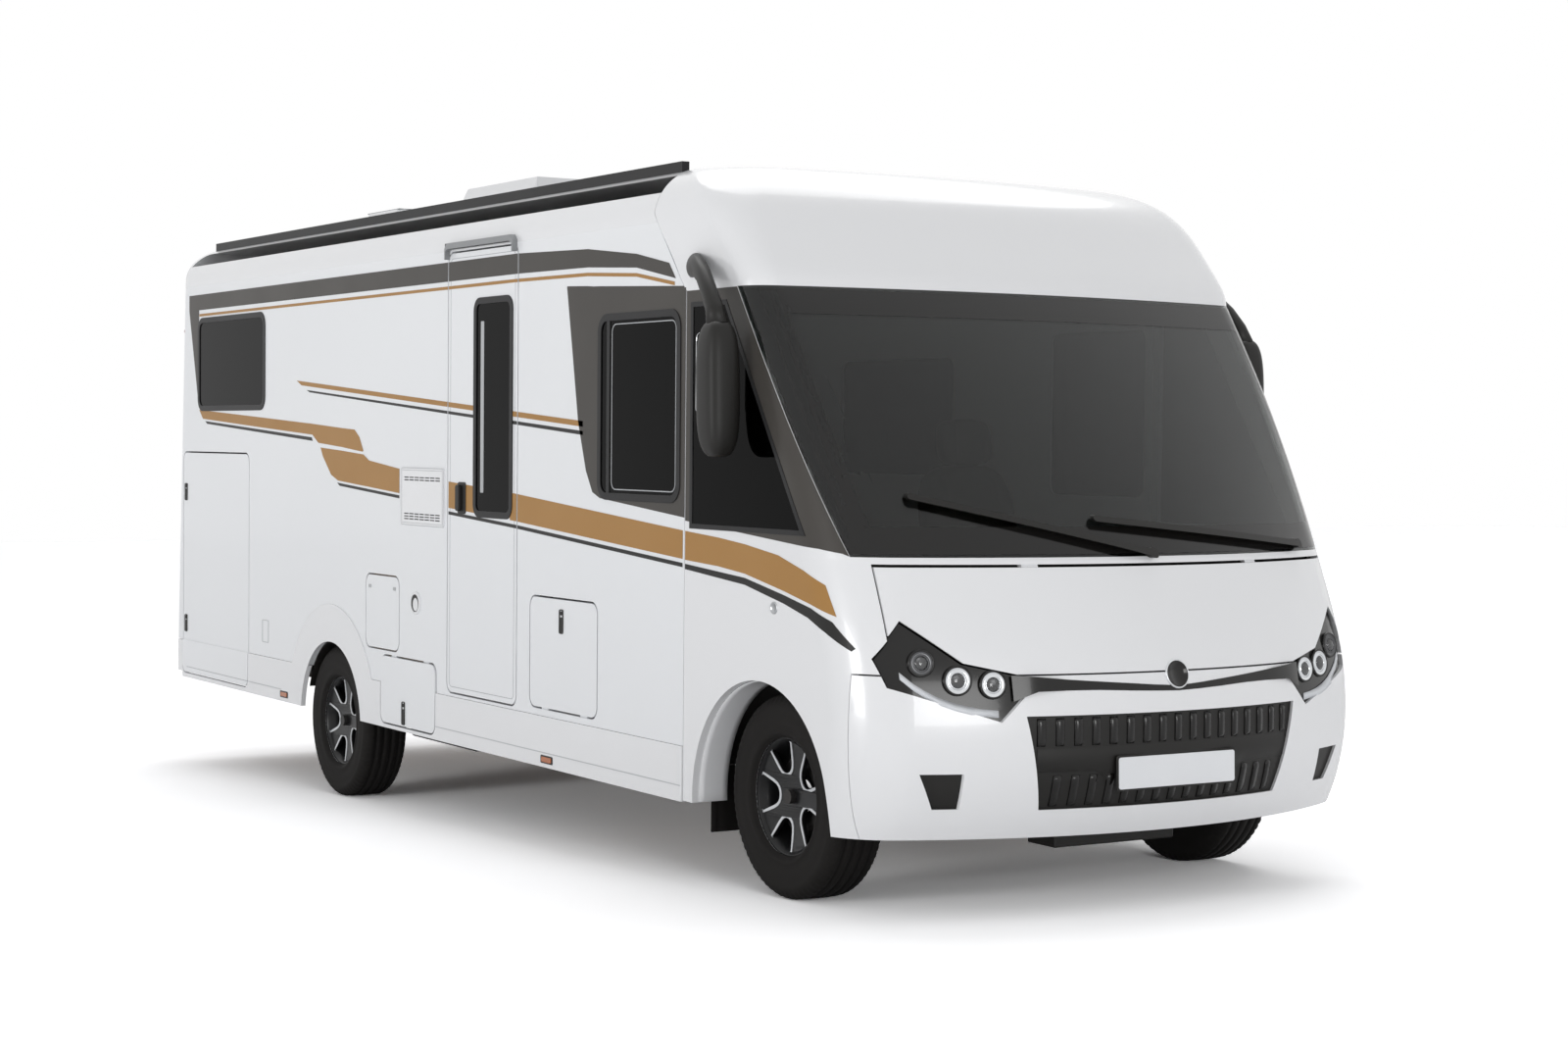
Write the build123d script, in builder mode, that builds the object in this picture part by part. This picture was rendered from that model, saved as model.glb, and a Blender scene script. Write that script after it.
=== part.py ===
"""Integrated motorhome on a low van chassis, as separate panels, running gear and openers.

Body frame: X forward from the front axle, Y left, Z up from the ground, in millimetres.
The finished pieces are turned nose-down by RAKE about the front axle line, and moved so
that the origin lies on the ground at mid length.
"""
from build123d import *
import math
import os

os.makedirs("parts", exist_ok=True)

# ---------------------------------------------------------------- stance and wheels
WHEELBASE = 4035.0
RAKE = 1.57              # nose-down stance of the body, degrees
TYRE_R = 372.0           # outer radius of the tyre
TYRE_W = 225.0           # section width of the tyre
RIM_R = 203.0            # bead seat radius
RIM_FLANGE_R = 228.0     # outer edge of the rim
RIM_INSET = 24.0         # rim face inside the tyre's outer side
FRONT_TYRE_Y = 904.0     # middle of the front tyre from the centre plane
REAR_TYRE_Y = 990.0      # middle of the rear tyre from the centre plane
KINGPIN_Y = 758.0        # steering pivot from the centre plane
STUB_R = 26.0            # stub axles, front and rear
HUB_CLEAR = 0.05         # running clearance of the hub on its stub

# ---------------------------------------------------------------- body envelope
HALF_W = 1135.0          # half width over the side walls
WALL = 34.0              # thickness of the sandwich walls, roof and doors
SHELL = 30.0             # thickness of the moulded cab panels
GLASS = 10.0             # thickness of the windscreen and cab glass
ROOF_Z = 2700.0          # top of the roof
ROLL_R = 220.0           # round of the roof edge
WALL_BOTTOM_Z = 510.0    # lower edge of the walls, top of the skirts
SKIRT_BOTTOM_Z = 300.0   # lower edge of the skirts
FLOOR_TOP_Z = 575.0
FLOOR_T = 55.0
SEAM_X = -510.0          # joint between living body and cab
SEAM_TOP_X = -770.0      # the same joint where it meets the roof
SEAM_TURN_Z = 2210.0     # height at which the joint starts to lean back
SEAM_GAP = 3.0           # shadow gap at panel joints
TAIL_X = -6263.0         # rear face at roof height
TAIL_LEAN = 0.058        # rear face runs back by this share of the drop from the roof
TAIL_ROLL_R = 180.0      # round between roof and rear wall
TAIL_CORNER_R = 60.0     # upright rear corners
REAR_RETURN = 60.0       # the rear wall wraps round the corner by this much
SKIRT_BACK_X = -6255.0   # joint between the skirts and the rear bumper
CAP_BACK_X = -1010.0     # back end of the cap before it is trimmed to the joint

# ---------------------------------------------------------------- openers and windows
DOOR_GAP = 8.0           # gap all round a door leaf
SEAT_GAP = 0.3           # what rests on or turns against a seat stands this far from it
HINGE_L = 60.0           # length of the concealed hinge blocks
HINGE_SINK = 8.0         # the hinge blocks lie back from the outer face
CORNER_R = 45.0          # corners of leaves and windows
# name of opening: x back, x front, z low, z high
ENTRY = (-2655.0, -1953.0, 530.0, 2468.0)
ENTRY_PANE = (-2372.0, -2008.0, 1325.0, 2250.0)
GARAGE = (-6250.0, -5200.0, 331.0, 1559.0)
LOCKER = (-1817.0, -1215.0, 545.0, 1000.0)
SERVICE = (-3590.0, -3199.0, 666.0, 1006.0)
HATCH = (-3395.0, -2776.0, 324.0, 634.0)
BED_WINDOW = (-5995.0, -4970.0, 1803.0, 2290.0)
SLIDING_WINDOW = (-1205.0, -560.0, 1430.0, 2136.0)
DINETTE_WINDOW = (-2900.0, -1950.0, 1500.0, 2050.0)
BATH_WINDOW = (-4250.0, -3750.0, 1990.0, 2260.0)
BONNET_HALF_W = 1015.0           # upright side seams, so that the bonnet turns past the fenders
BONNET_TOP_Z = 1229.0
BONNET_LOW_Z = 872.0
BONNET_T = 8.0                   # thickness of the bonnet's moulding
BONNET_GAP = 6.0                 # gap at the bonnet's sides, lower edge and lamps
COWL_GAP = 10.0                  # gap over the bonnet's hinged edge
LAMP_SINK = 14.0                 # the lamps lie back from the surface, clear of the opening bonnet's corners
BUMPER_SPLIT_X = 600.0           # joint between front bumper and cab shell
COWL_Z = 1262.0                  # lower edge of the windscreen
CAP_Z = 2213.0                   # upper edge of the windscreen
ARCH_R = 470.0                   # front wheel arch
ARCH_X = 30.0
ARCH_Z = 330.0
REAR_ARCH_R = 390.0
REAR_FLARE_R = 575.0
RAIL_Y = 980.0

# ---------------------------------------------------------------- cab sections
# z, nose x, front radius, corner radius, half width
CAB_LOWER = [
    (305.0, 905.0, 2200.0, 300.0, 1135.0),
    (430.0, 960.0, 2200.0, 300.0, 1135.0),
    (700.0, 997.0, 2200.0, 300.0, 1135.0),
    (930.0, 957.0, 2200.0, 305.0, 1135.0),
    (1250.0, 840.0, 2200.0, 350.0, 1135.0),
]
CAB_MIDDLE = [
    (1250.0, 840.0, 2200.0, 350.0, 1135.0),
    (1730.0, 497.0, 3200.0, 230.0, 1135.0),
    (CAP_Z, 107.0, 4500.0, 130.0, 1135.0),
]
# the cap over the windscreen follows the rolled roof edge: z, nose x, corner radius
CAP_FRONT_R = 4500.0
CAP_ROWS = [
    (CAP_Z, 107.0, 130.0),
    (2400.0, -12.0, 150.0),
    (2500.0, -95.0, 180.0),
    (2570.0, -165.0, 200.0),
    (2630.0, -250.0, 220.0),
    (2670.0, -340.0, 250.0),
    (ROOF_Z - 2, -500.0, 300.0),
]
CAP_SINK = (ROOF_Z - SHELL - CAP_Z) / (ROOF_Z - CAP_Z)   # height of the cap's hollow over that of the cap
# front view of one headlight: distance from the centre plane, z
HEADLIGHT = [(1066.0, 924.0), (975.0, 1044.0), (800.0, 905.0), (552.0, 850.0), (686.0, 712.0), (1038.0, 829.0)]
GRILLE = [(-602.0, 731.0), (602.0, 731.0), (530.0, 405.0), (-530.0, 405.0)]
FOG_RECESS = [(804.0, 538.0), (946.0, 538.0), (890.0, 415.0), (804.0, 415.0)]

# ---------------------------------------------------------------- derived places
SIN_RAKE = math.sin(math.radians(RAKE))
COS_RAKE = math.cos(math.radians(RAKE))
REAR_AXLE_X = -WHEELBASE * COS_RAKE
REAR_AXLE_Z = TYRE_R - WHEELBASE * SIN_RAKE
TAIL_LOW_X = TAIL_X - TAIL_LEAN * (ROOF_Z - WALL_BOTTOM_Z)
BUMPER_BACK_X = TAIL_LOW_X - 8.0
NOSE_Z = 700.0
NOSE_X = 997.0
FRONT_END = NOSE_X * COS_RAKE + (NOSE_Z - TYRE_R) * SIN_RAKE
REAR_END = BUMPER_BACK_X * COS_RAKE + (WALL_BOTTOM_Z - TYRE_R) * SIN_RAKE
MID_X = (FRONT_END + REAR_END) / 2
PARKED = Pos(-MID_X, 0, TYRE_R) * Rot(0, RAKE, 0) * Pos(0, 0, -TYRE_R)
INNER_Y = HALF_W - WALL
ROLL_Z = ROOF_Z - ROLL_R         # height at which the side starts to roll into the roof


def roll_half(z):
    """Half width of the body at a height, on the flat side or on the rolled roof edge."""
    rise = max(z - ROLL_Z, 0)
    return HALF_W - ROLL_R + math.sqrt(ROLL_R ** 2 - rise ** 2)


def tail_at(z):
    """Body-frame x of the leaning rear face at a height."""
    return TAIL_X - TAIL_LEAN * (ROOF_Z - z)


def pin_x(z):
    """Body-frame x of the upright steering pin at a height."""
    return -(z - TYRE_R) * math.tan(math.radians(RAKE))


CAB_CAP = [(z, nose, CAP_FRONT_R, corner, roll_half(z)) for z, nose, corner in CAP_ROWS]


def save(piece, label):
    """Set a finished piece on its wheels and write it."""
    placed = PARKED * piece.part
    placed.label = label
    export_step(placed, f"parts/{label}.step")


def save_upright(piece, label):
    """Write a piece that stands upright at the front axle, such as a steering knuckle."""
    placed = Pos(-MID_X, 0, 0) * piece.part
    placed.label = label
    export_step(placed, f"parts/{label}.step")


def cab_section(row, inset, back_x):
    """Draw one plan section of the cab: straight sides, round corners and a bowed front."""
    z, nose, front_r, corner_r, half = row
    nose, front_r, corner_r, half = nose - inset, front_r - inset, corner_r - inset, half - inset
    front_cx = nose - front_r
    corner_y = half - corner_r
    corner_x = front_cx + math.sqrt((front_r - corner_r) ** 2 - corner_y ** 2)
    turn = math.atan2(corner_y, corner_x - front_cx)
    middle = (turn + math.pi / 2) / 2
    meet = (front_cx + front_r * math.cos(turn), front_r * math.sin(turn))
    bulge = (corner_x + corner_r * math.cos(middle), corner_y + corner_r * math.sin(middle))
    with BuildSketch(Plane.XY.offset(z)) as section:
        with BuildLine():
            Line((back_x, -half), (corner_x, -half))
            ThreePointArc((corner_x, -half), (bulge[0], -bulge[1]), (meet[0], -meet[1]))
            ThreePointArc((meet[0], -meet[1]), (nose, 0), meet)
            ThreePointArc(meet, bulge, (corner_x, half))
            Line((corner_x, half), (back_x, half))
            Line((back_x, half), (back_x, -half))
        make_face()
    return section.sketch


def cab_block(rows, inset, back_x):
    """Loft the cab's outer form, or its hollow when inset by the panel thickness."""
    with BuildPart() as block:
        for row in rows:
            add(cab_section(row, inset, back_x))
        loft()
    return block.part


def cab_skin(rows, thickness, back_x):
    """A skin of even thickness between the outer form and its inset, open at the ends."""
    with BuildPart() as skin:
        add(cab_block(rows, 0, back_x))
        add(cab_block(rows, thickness, back_x - 50), mode=Mode.SUBTRACT)
    return skin.part


def side_prism(points, y0=-1400.0, y1=1400.0):
    """A prism across the vehicle from a side-view outline of x, z points."""
    with BuildPart() as prism:
        with BuildSketch(Plane.XZ.offset(-y1)):
            with BuildLine():
                Polyline(*points, close=True)
            make_face()
        extrude(amount=y1 - y0)
    return prism.part


def front_prism(points, x0, x1):
    """A prism along the vehicle from a front-view outline of y, z points."""
    with BuildPart() as prism:
        with BuildSketch(Plane.YZ.offset(x0)):
            with BuildLine():
                Polyline(*points, close=True)
            make_face()
        extrude(amount=x1 - x0)
    return prism.part


def side_panel(box, grow, y0, y1, corner=CORNER_R):
    """A rounded panel in a body side from its x and z limits, between two y values."""
    x0, x1, z0, z1 = box
    with BuildPart() as panel:
        with BuildSketch(Plane.XZ.offset(-y1)):
            with Locations(((x0 + x1) / 2, (z0 + z1) / 2)):
                RectangleRounded(x1 - x0 + 2 * grow, z1 - z0 + 2 * grow, corner + grow)
        extrude(amount=y1 - y0)
    return panel.part


def block(x, y, z):
    """A plain block from its limits along the three axes."""
    with BuildPart() as body:
        with Locations(((x[0] + x[1]) / 2, (y[0] + y[1]) / 2, (z[0] + z[1]) / 2)):
            Box(x[1] - x[0], y[1] - y[0], z[1] - z[0])
    return body.part


def across(x, z, radius, y0, y1):
    """A cylinder across the vehicle."""
    with BuildPart() as bar:
        with BuildSketch(Plane.XZ.offset(-y1)):
            with Locations((x, z)):
                Circle(radius)
        extrude(amount=y1 - y0)
    return bar.part


# ---------------------------------------------------------------- living body
def living_block(inset, corner_r):
    """Outer form of the living body, or its square-cornered hollow when inset by the wall thickness."""
    half = HALF_W - inset
    top = ROOF_Z - inset
    low = WALL_BOTTOM_Z - 4 * inset
    front = SEAM_X + 20 + 4 * inset
    roll = ROLL_R - inset
    with BuildPart() as form:
        outline = [(front, low), (tail_at(low) + inset, low), (tail_at(top) + inset, top), (front, top)]
        add(side_prism(outline, -half, half))
        fillet(form.edges().filter_by(Axis.Y).sort_by(Axis.Z)[-2:].sort_by(Axis.X)[0], TAIL_ROLL_R - inset)
        if corner_r:
            fillet(form.edges().filter_by(Plane.XZ).group_by(Axis.X)[0], corner_r)
        with BuildSketch(Plane.YZ.offset(tail_at(low) - 50)):
            with BuildLine():
                wide, high = half + 50, top + 50
                Polyline(
                    (-half, top - roll), (-wide, top - roll), (-wide, low - 10), (wide, low - 10),
                    (wide, top - roll), (half, top - roll),
                )
                RadiusArc((half, top - roll), (half - roll, top), -roll)
                Polyline((half - roll, top), (half - roll, high), (roll - half, high), (roll - half, top))
                RadiusArc((roll - half, top), (-half, top - roll), -roll)
            make_face()
        extrude(amount=front - tail_at(low) + 100, mode=Mode.INTERSECT)
    return form.part


with BuildPart() as living_shell:
    add(living_block(0, TAIL_CORNER_R))
    add(living_block(WALL, 0), mode=Mode.SUBTRACT)

# side view of everything that belongs to the cab, grown by a gap
def cab_side_view(gap):
    lean = (SEAM_X - gap, SEAM_TURN_Z - gap)
    return [
        (SEAM_X - gap, 0), lean, (SEAM_TOP_X - gap, 2520), (SEAM_TOP_X - gap, ROOF_Z + 100),
        (1300, ROOF_Z + 100), (1300, 0),
    ]


cab_region = side_prism(cab_side_view(0))
cab_region_gap = side_prism(cab_side_view(SEAM_GAP))

with BuildPart() as roof:
    add(living_shell.part)
    add(block((TAIL_LOW_X - 50, 0), (-1200, 1200), (ROLL_Z, ROOF_Z + 50)), mode=Mode.INTERSECT)
    add(cab_region_gap, mode=Mode.SUBTRACT)
save(roof, "roof")

REAR_EDGE = [(tail_at(z) + REAR_RETURN, z) for z in (WALL_BOTTOM_Z, ROLL_Z)]   # rear edge of the side walls
with BuildPart() as rear_wall:
    add(living_shell.part)
    add(side_prism([*REAR_EDGE, (TAIL_LOW_X - 50, ROLL_Z), (TAIL_LOW_X - 50, WALL_BOTTOM_Z)]), mode=Mode.INTERSECT)
save(rear_wall, "rear_wall")

RIGHT_OPENINGS = (
    (ENTRY, DOOR_GAP), (GARAGE, DOOR_GAP), (LOCKER, DOOR_GAP), (SERVICE, DOOR_GAP), (HATCH, DOOR_GAP),
    (BED_WINDOW, 0), (SLIDING_WINDOW, 0),
)
LEFT_OPENINGS = (
    (GARAGE, DOOR_GAP), (BED_WINDOW, 0), (SLIDING_WINDOW, 0), (DINETTE_WINDOW, 0), (BATH_WINDOW, 0),
)


def side_limits(side, inner, outer):
    """Low and high y between two distances from the centre plane, on the left (1) or right (-1)."""
    return (inner, outer) if side > 0 else (-outer, -inner)


# concealed hinge blocks in the door gaps: x limits, z limits
def upright_hinges(x, reach, heights):
    """Hinge blocks along an upright leaf edge, reaching from the wall towards the leaf."""
    near, far = sorted((x + reach * SEAT_GAP, x + reach * (DOOR_GAP + 2)))
    return [((near, far), (z, z + HINGE_L)) for z in heights]


def level_hinges(z, reach, places):
    """Hinge blocks along a level leaf edge, reaching from the wall towards the leaf."""
    near, far = sorted((z + reach * SEAT_GAP, z + reach * (DOOR_GAP + 2)))
    return [((x, x + HINGE_L), (near, far)) for x in places]


GARAGE_HINGES = upright_hinges(GARAGE[1], 1, (700.0, 1360.0))
RIGHT_HINGES = [
    *upright_hinges(ENTRY[1], 1, (760.0, 1500.0, 2200.0)), *GARAGE_HINGES,
    *level_hinges(LOCKER[2], -1, (-1720.0, -1370.0)), *upright_hinges(SERVICE[0], -1, (730.0, 880.0)),
    *level_hinges(HATCH[3], 1, (-3300.0, -2930.0)),
]


def side_wall(side, openings, hinges):
    """One side wall with its door openings and windows cut."""
    y = side_limits(side, INNER_Y - 120, HALF_W + 40)
    with BuildPart() as wall:
        add(side_prism([*REAR_EDGE, (0, ROLL_Z), (0, WALL_BOTTOM_Z)], *side_limits(side, INNER_Y, HALF_W)))
        add(cab_region_gap, mode=Mode.SUBTRACT)
        for box, gap in openings:
            add(side_panel(box, gap, *y), mode=Mode.SUBTRACT)
        add(across(REAR_AXLE_X, REAR_AXLE_Z, REAR_ARCH_R + 14, *y), mode=Mode.SUBTRACT)
        for x, z in hinges:
            add(block(x, side_limits(side, INNER_Y, HALF_W - HINGE_SINK), z))
    return wall


save(side_wall(-1, RIGHT_OPENINGS, RIGHT_HINGES), "side_wall_right")
save(side_wall(1, LEFT_OPENINGS, GARAGE_HINGES), "side_wall_left")

# ---------------------------------------------------------------- floor and frame
WELL_HALF = 492.0        # front wheel well in the cab floor
WELL_Y = 552.0
REAR_WELL_HALF = 412.0
REAR_WELL_Y = 862.0
FLOOR_FRONT_X = 425.0
ENGINE_X = (430.0, 860.0)
floor_z = (FLOOR_TOP_Z - FLOOR_T, FLOOR_TOP_Z)

with BuildPart() as floor:
    add(block((TAIL_LOW_X + WALL + 5, FLOOR_FRONT_X), (-INNER_Y, INNER_Y), floor_z))
    fillet(floor.edges().filter_by(Axis.Z).sort_by(Axis.X)[:2], TAIL_CORNER_R)
    for side in (-1, 1):
        add(block((-WELL_HALF, WELL_HALF), side_limits(side, WELL_Y, 1200), (400, 700)), mode=Mode.SUBTRACT)
        rear_x = (REAR_AXLE_X - REAR_WELL_HALF, REAR_AXLE_X + REAR_WELL_HALF)
        add(block(rear_x, side_limits(side, REAR_WELL_Y, 1200), (400, 700)), mode=Mode.SUBTRACT)
    for side, openers in ((-1, (ENTRY, GARAGE, LOCKER, HATCH)), (1, (GARAGE,))):
        edge_y = side_limits(side, INNER_Y - 12, 1200)
        for opener in openers:
            add(block((opener[0] - 30, opener[1] + 30), edge_y, (400, 700)), mode=Mode.SUBTRACT)
save(floor, "floor")

RAIL_HALF_Y = 420.0      # middle of each chassis rail
RAIL_W = 70.0
FRAME_Z = (400.0, FLOOR_TOP_Z - FLOOR_T)
FRAME_BACK_X = -6180.0
FRAME_FRONT_X = 780.0
CROSS_X = (-6140.0, -5150.0, -4560.0, -3450.0, -2350.0, -1250.0, -560.0)
CROSS_W = 80.0
HITCH_Z = 475.0          # bolt holes for a towing hitch in the rearmost cross member
HITCH_SPACING_Y = 160.0
HITCH_SPACING_Z = 50.0
HITCH_HOLE_R = 7.0

JACK_PAD_X = (-1060.0, -940.0)
JACK_PAD_Z = 388.0       # underside of the jacking pads below the rails
with BuildPart() as chassis_frame:
    for side in (-1, 1):
        rail = side_limits(side, RAIL_HALF_Y - RAIL_W / 2, RAIL_HALF_Y + RAIL_W / 2)
        add(block((FRAME_BACK_X, FRAME_FRONT_X), rail, FRAME_Z))
        add(block(JACK_PAD_X, rail, (JACK_PAD_Z, FRAME_Z[0])))
    for x in CROSS_X:
        add(block((x - CROSS_W / 2, x + CROSS_W / 2), (-1040, 1040), (FRAME_Z[0] + 30, FRAME_Z[1])))
    add(block((FRAME_FRONT_X, FRAME_FRONT_X + 50), (-560, 560), (430, 520)))
    with BuildSketch(Plane.YZ.offset(FRAME_BACK_X - 5)):
        with Locations((0, HITCH_Z)):
            with GridLocations(HITCH_SPACING_Y, HITCH_SPACING_Z, 2, 2):
                Circle(HITCH_HOLE_R)
    extrude(amount=CROSS_W + 10, mode=Mode.SUBTRACT)
save(chassis_frame, "chassis_frame")

with BuildPart() as engine_block:
    engine_y = RAIL_HALF_Y - RAIL_W / 2 - SEAT_GAP
    add(block(ENGINE_X, (-350, 350), (FRAME_Z[1] + 10, 860)))
    add(block((ENGINE_X[0], FRAME_FRONT_X - SEAT_GAP), (-engine_y, engine_y), (330, FRAME_Z[1] + 10)))
save(engine_block, "engine_block")

# tanks, spare space and silencer under the floor: x limits, y limits, lowest z
UNDER_UNITS = (
    ((-3340.0, -2660.0), (-1010.0, -500.0), 250.0),
    ((-2200.0, -1350.0), (470.0, 1000.0), 300.0),
    ((-3300.0, -2500.0), (520.0, 900.0), 310.0),
)
UNDER_TOP_Z = floor_z[0] - SEAT_GAP
with BuildPart() as underbody_units:
    for x, y, z in UNDER_UNITS:
        add(block(x, y, (z, UNDER_TOP_Z)))
    fillet(underbody_units.edges().filter_by(Axis.X), 25)
save(underbody_units, "underbody_units")

# ---------------------------------------------------------------- skirts and rear bumper
SKIRT_T = 24.0
SKIRT_OUT = 6.0          # the skirts stand proud of the walls
skirt_top = WALL_BOTTOM_Z - 1


def skirt(side):
    """Skirt below one side wall, with the moulded flare over the rear wheel."""
    outer = HALF_W + SKIRT_OUT
    y = side_limits(side, outer - SKIRT_T, outer)
    y_flare = side_limits(side, HALF_W + 0.2, outer)
    wide = side_limits(side, outer - 100, outer + 50)
    with BuildPart() as piece:
        add(block((SKIRT_BACK_X, SEAM_X - SEAM_GAP), y, (SKIRT_BOTTOM_Z, skirt_top)))
        add(across(REAR_AXLE_X, REAR_AXLE_Z, REAR_FLARE_R, *y_flare))
        add(block((REAR_AXLE_X - 700, REAR_AXLE_X + 700), wide, (-500, SKIRT_BOTTOM_Z)), mode=Mode.SUBTRACT)
        add(across(REAR_AXLE_X, REAR_AXLE_Z, REAR_ARCH_R, *wide), mode=Mode.SUBTRACT)
        add(side_panel(GARAGE, DOOR_GAP, *wide), mode=Mode.SUBTRACT)
        if side < 0:
            add(side_panel(HATCH, DOOR_GAP, *wide), mode=Mode.SUBTRACT)
            add(side_panel(ENTRY, DOOR_GAP, *wide), mode=Mode.SUBTRACT)
            add(side_panel(SERVICE, DOOR_GAP, *wide), mode=Mode.SUBTRACT)
    return piece.part


with BuildPart() as body_skirts:
    add(skirt(-1))
    add(skirt(1))
save(body_skirts, "body_skirts")

BUMPER_Z = (330.0, WALL_BOTTOM_Z - 6)
with BuildPart() as rear_bumper:
    add(block((BUMPER_BACK_X, SKIRT_BACK_X - 1), (-HALF_W - 4, HALF_W + 4), BUMPER_Z))
    fillet(rear_bumper.edges().filter_by(Axis.Z).sort_by(Axis.X)[:2], 80)
    add(block((BUMPER_BACK_X + 30, 0), (-HALF_W + 30, HALF_W - 30), (300, BUMPER_Z[1] - 30)), mode=Mode.SUBTRACT)
save(rear_bumper, "rear_bumper")

# ---------------------------------------------------------------- cab
lower_skin = cab_skin(CAB_LOWER, SHELL, SEAM_X)
middle_skin = cab_skin(CAB_MIDDLE, SHELL, SEAM_X)
middle_glass = cab_skin(CAB_MIDDLE, GLASS, SEAM_X)

SCREEN_SIDE = ((518.0, COWL_Z), (-137.0, CAP_Z))      # side edge of the windscreen in side view
screen_region = side_prism([SCREEN_SIDE[0], SCREEN_SIDE[1], (1300, CAP_Z), (1300, COWL_Z)])
QUARTER_WINDOW = [(-470.0, 1330.0), (-470.0, 2165.0), (-215.0, 2165.0), (330.0, 1330.0)]
quarter_region = side_prism(QUARTER_WINDOW)
bonnet_region = block((500, 1300), (-BONNET_HALF_W, BONNET_HALF_W), (BONNET_LOW_Z, BONNET_TOP_Z))
bonnet_hole_y = BONNET_HALF_W + BONNET_GAP
bonnet_region_gap = block((490, 1300), (-bonnet_hole_y, bonnet_hole_y), (BONNET_LOW_Z, BONNET_TOP_Z + COWL_GAP))
bumper_region = block((BUMPER_SPLIT_X, 1300), (-1200, 1200), (200, BONNET_LOW_Z - BONNET_GAP))
bumper_region_gap = block((BUMPER_SPLIT_X - SEAM_GAP, 1300), (-1200, 1200), (200, BONNET_LOW_Z))


def lamp_prism(side, grow):
    """Headlight outline as a prism, grown outward by a gap."""
    points = [(side * y, z) for y, z in HEADLIGHT]
    with BuildPart() as prism:
        with BuildSketch(Plane.YZ.offset(500)):
            with BuildLine():
                Polyline(*points, close=True)
            make_face()
            if grow:
                offset(amount=grow, kind=Kind.INTERSECTION)
        extrude(amount=600)
    return prism.part


BONNET_HINGE_Y = 500.0
with BuildPart() as bonnet_hinges:
    for side in (-1, 1):
        lug = side_limits(side, BONNET_HINGE_Y - HINGE_L / 2, BONNET_HINGE_Y + HINGE_L / 2)
        add(block((600, 1000), lug, (BONNET_TOP_Z + SEAT_GAP, BONNET_TOP_Z + COWL_GAP + 1)))
    add(cab_block(CAB_LOWER, HINGE_SINK, SEAM_X), mode=Mode.INTERSECT)
    add(cab_block(CAB_LOWER, SHELL, SEAM_X - 50), mode=Mode.SUBTRACT)

with BuildPart() as cab_shell:
    add(lower_skin)
    add(middle_skin)
    add(screen_region, mode=Mode.SUBTRACT)
    add(quarter_region, mode=Mode.SUBTRACT)
    add(bonnet_region_gap, mode=Mode.SUBTRACT)
    add(bonnet_hinges.part)
    add(bumper_region_gap, mode=Mode.SUBTRACT)
    for side in (-1, 1):
        add(lamp_prism(side, SEAT_GAP), mode=Mode.SUBTRACT)
    add(across(ARCH_X, ARCH_Z, ARCH_R, -1200, 1200), mode=Mode.SUBTRACT)
save(cab_shell, "cab_shell")

with BuildPart() as windscreen:
    add(middle_glass)
    add(screen_region, mode=Mode.INTERSECT)
save(windscreen, "windscreen")

with BuildPart() as bonnet:
    add(cab_skin(CAB_LOWER, BONNET_T, SEAM_X))
    add(bonnet_region, mode=Mode.INTERSECT)
    for side in (-1, 1):
        add(lamp_prism(side, BONNET_GAP), mode=Mode.SUBTRACT)
save(bonnet, "bonnet")

BUMPER_TONGUE_Z = (420.0, 700.0)
with BuildPart() as bumper_tongues:
    add(block((BUMPER_SPLIT_X - 45, BUMPER_SPLIT_X + 40), (-1200, 1200), BUMPER_TONGUE_Z))
    add(block((500, BUMPER_SPLIT_X + 100), (-900, 900), (300, 900)), mode=Mode.SUBTRACT)
    add(cab_block(CAB_LOWER, SHELL + SEAT_GAP, SEAM_X), mode=Mode.INTERSECT)
    add(cab_block(CAB_LOWER, SHELL + 8, SEAM_X - 50), mode=Mode.SUBTRACT)
with BuildPart() as tongue_roots:
    add(block((BUMPER_SPLIT_X + 5, BUMPER_SPLIT_X + 40), (-1200, 1200), BUMPER_TONGUE_Z))
    add(block((500, BUMPER_SPLIT_X + 100), (-900, 900), (300, 900)), mode=Mode.SUBTRACT)
    add(cab_block(CAB_LOWER, SHELL - 2, SEAM_X), mode=Mode.INTERSECT)
    add(cab_block(CAB_LOWER, SHELL + 8, SEAM_X - 50), mode=Mode.SUBTRACT)

with BuildPart() as front_bumper:
    add(lower_skin)
    add(bumper_region, mode=Mode.INTERSECT)
    for side in (-1, 1):
        add(lamp_prism(side, SEAT_GAP), mode=Mode.SUBTRACT)
        add(front_prism([(side * y, z) for y, z in FOG_RECESS], 500, 1300), mode=Mode.SUBTRACT)
    add(front_prism(GRILLE, 600, 1300), mode=Mode.SUBTRACT)
    add(bumper_tongues.part)
    add(tongue_roots.part)
save(front_bumper, "front_bumper")

with BuildPart() as headlights:
    for side in (-1, 1):
        add(lamp_prism(side, 0))
    add(cab_block(CAB_LOWER, LAMP_SINK, SEAM_X), mode=Mode.INTERSECT)
    add(cab_block(CAB_LOWER, SHELL, SEAM_X - 50), mode=Mode.SUBTRACT)
save(headlights, "headlights")

grille_back = cab_block(CAB_LOWER, SHELL, 300)
grille_face = cab_block(CAB_LOWER, 12, 300)
with BuildPart() as grille:
    add(front_prism(GRILLE, 600, 1300))
    for side in (-1, 1):
        add(front_prism([(side * y, z) for y, z in FOG_RECESS], 500, 1300))
    add(grille_face, mode=Mode.INTERSECT)
    add(grille_back, mode=Mode.SUBTRACT)
save(grille, "grille")

with BuildPart() as front_cap:
    add(cab_block(CAB_CAP, 0, CAP_BACK_X))
    hollow = [(CAP_Z + (row[0] - CAP_Z) * CAP_SINK, *row[1:]) for row in CAB_CAP]
    add(cab_block(hollow, SHELL, CAP_BACK_X - 50), mode=Mode.SUBTRACT)
    add(cab_region, mode=Mode.INTERSECT)
save(front_cap, "front_cap")

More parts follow.
